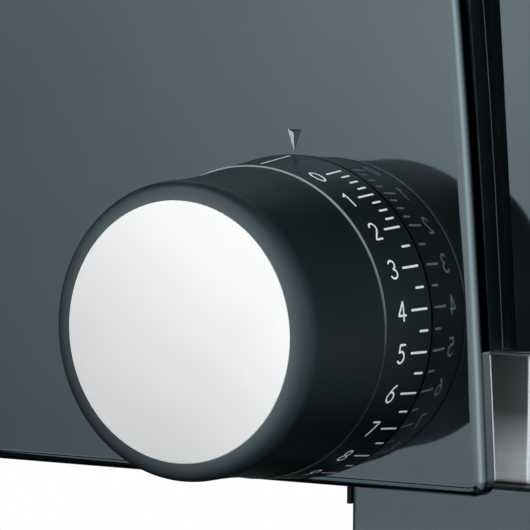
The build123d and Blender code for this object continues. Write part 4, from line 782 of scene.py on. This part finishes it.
# %% [markdown]
# ## Stage and light
#
# A plain pale floor, a white surround and soft lamps. Matt surfaces see a surround of even brightness, so
# that a colour renders about as it is written. Mirror-like ones see a room: the gloss panel is a map of it.
# Read off the photograph, the room in front is brightest straight ahead. It falls away to the left, towards
# the floor, under the ceiling and behind the slicer, and two soft boxes stand beside it, at the right and
# above to the right. A box fades in from an outer to an inner angle round its middle.

# %% The room that mirrors see
def aimed(azimuth_left, height):
    """The direction at an angle to the left of straight ahead (-Y) and at a height, both in degrees."""
    a, e = radians(azimuth_left), radians(height)
    return (-sin(a) * cos(e), -cos(a) * cos(e), sin(e))


# Direction, then the component along it where a fall starts and ends, then the brightness there
room_falls = {
    "left": ((1.0, 0.0, 0.0), -0.515, -0.572, 1.13, 0.70),
    "down": ((0.0, 0.0, 1.0), -0.04, -0.115, 1.0, 0.66),
    "further down": ((0.0, 0.0, 1.0), -0.115, -0.35, 1.0, 0.85),
    "ceiling": ((0.0, 0.0, 1.0), 0.1, 0.5, 1.0, 0.25),
    "behind right": ((0.52, 0.85, 0.0), 0.6, 0.95, 1.0, 0.5),
    "behind left": ((-0.52, 0.85, 0.0), 0.6, 0.95, 1.0, 0.35),
}
# Direction, inner and outer angle, brightness
soft_boxes = {
    "right": (aimed(-76, -2), 8, 48, 1.35),
    "upper right": (aimed(-60, 42), 12, 40, 0.8),
}
surround = 0.6                       # what matt surfaces see
white = (1.0, 1.0, 1.0, 1.0)

world = bpy.data.worlds.new("studio")
world.use_nodes = True
bpy.context.scene.world = world
w = Wires(world.node_tree)
world.node_tree.nodes.clear()
direction = w.node("TexCoord").outputs["Generated"]
room = 1.0
for way, start, end, first, last in room_falls.values():
    room = w.math("MULTIPLY", room, w.ramp(w.vector("DOT_PRODUCT", direction, way), start, end, first, last))
for way, inner, outer, brightness in soft_boxes.values():
    near = w.vector("DOT_PRODUCT", direction, way)
    room = w.math("ADD", room, w.ramp(near, cos(radians(outer)), cos(radians(inner)), 0.0, brightness))
path = w.node("LightPath").outputs
seen, mirrored, soft = [w.node("Background", {"Color": white, "Strength": strength}).outputs[0]
                        for strength in (1.0, room, surround)]
lit = w.node("MixShader", {0: path["Is Glossy Ray"], 1: soft, 2: mirrored}).outputs[0]
clear = w.math("MAXIMUM", path["Is Camera Ray"], path["Is Transmission Ray"])
w.node("OutputWorld", {0: w.node("MixShader", {0: clear, 1: lit, 2: seen}).outputs[0]})
print("world nodes:", len(world.node_tree.nodes), "soft boxes:", len(soft_boxes))

# %% [markdown]
# The floor is a disc that keeps the shadow near the slicer and turns into the white background farther out.
# Mirrors see it only near the slicer. The slicer is longer than it is deep, so both edges are ellipses.

# %% Floor
floor_radius, floor_drop, floor_squash = 12.0, 0.1 * MM, (0.72, 1.0, 1.0)
innermost, ring_count, steps = 0.1, 30, 96
shadow_edge, mirror_edge = (0.16, 0.25), (0.24, 0.34)    # from where each begins to fade to where it ends
rings = np.concatenate([[0.0], np.geomspace(innermost, floor_radius, ring_count)])
r, t = np.meshgrid(rings, np.linspace(0, tau, steps, endpoint=False), indexing="ij")
floor_points = np.stack([r * np.cos(t), r * np.sin(t), np.full_like(r, -floor_drop)], axis=-1).reshape(-1, 3)
floor_mesh = bpy.data.meshes.new("floor")
floor_mesh.from_pydata(floor_points.tolist(), [], grid_faces(len(rings), steps, wrap=True)[:, ::-1].tolist())
floor = bpy.data.objects.new("floor", floor_mesh)
bpy.context.scene.collection.objects.link(floor)

w, shader = start_material("pale_floor")
shader["Base Color"].default_value = (0.88, 0.88, 0.88, 1.0)
shader["Roughness"].default_value = 0.6
tree = materials["pale_floor"].node_tree
reach = w.vector("LENGTH", w.vector("MULTIPLY", w.node("TexCoord").outputs["Object"], floor_squash))
path = w.node("LightPath").outputs
background = w.node("Emission", {"Color": white, "Strength": 1.0}).outputs[0]
clear = w.math("MAXIMUM", path["Is Camera Ray"], path["Is Transmission Ray"])
far = w.math("MULTIPLY", w.ramp(reach, *shadow_edge), clear)
mixed = w.node("MixShader", {0: far, 1: tree.nodes["Principled BSDF"].outputs[0], 2: background}).outputs[0]
gone = w.math("MULTIPLY", path["Is Glossy Ray"], w.ramp(reach, *mirror_edge))
mixed = w.node("MixShader", {0: gone, 1: mixed, 2: w.node("BsdfTransparent").outputs[0]}).outputs[0]
tree.links.new(mixed, tree.nodes["Material Output"].inputs["Surface"])
floor_mesh.materials.append(materials["pale_floor"])
print("floor out to", rings[-1], "m")

# %% Lamps
def lamp(name, place, target, size, strength):
    """A rectangular area lamp at a place, aimed at a target. Its power gives the wanted brightness on a
    face turned to it: power = strength x pi^2 x distance^2."""
    light = bpy.data.lights.new(name, "AREA")
    light.shape, light.size, light.size_y = "RECTANGLE", size[0], size[1]
    way = Vector(target) - Vector(place)
    light.energy = strength * pi**2 * way.length**2
    made = bpy.data.objects.new(name, light)
    made.location = place
    made.rotation_euler = way.to_track_quat("-Z", "Y").to_euler()
    bpy.context.scene.collection.objects.link(made)
    return made


lamp("key_softbox", (-0.6, -1.25, 1.3), middle, (1.2, 1.0), 0.48)
side = lamp("side_softbox", (1.5, -0.55, 0.5), middle, (1.6, 1.8), 0.30)
side.visible_glossy = False          # the soft box on the world's right is what mirrors see there
lamp("rear_softbox", (0.3, 1.4, 1.2), middle, (1.2, 0.8), 0.15)
print("lamps:", len(bpy.data.lights))
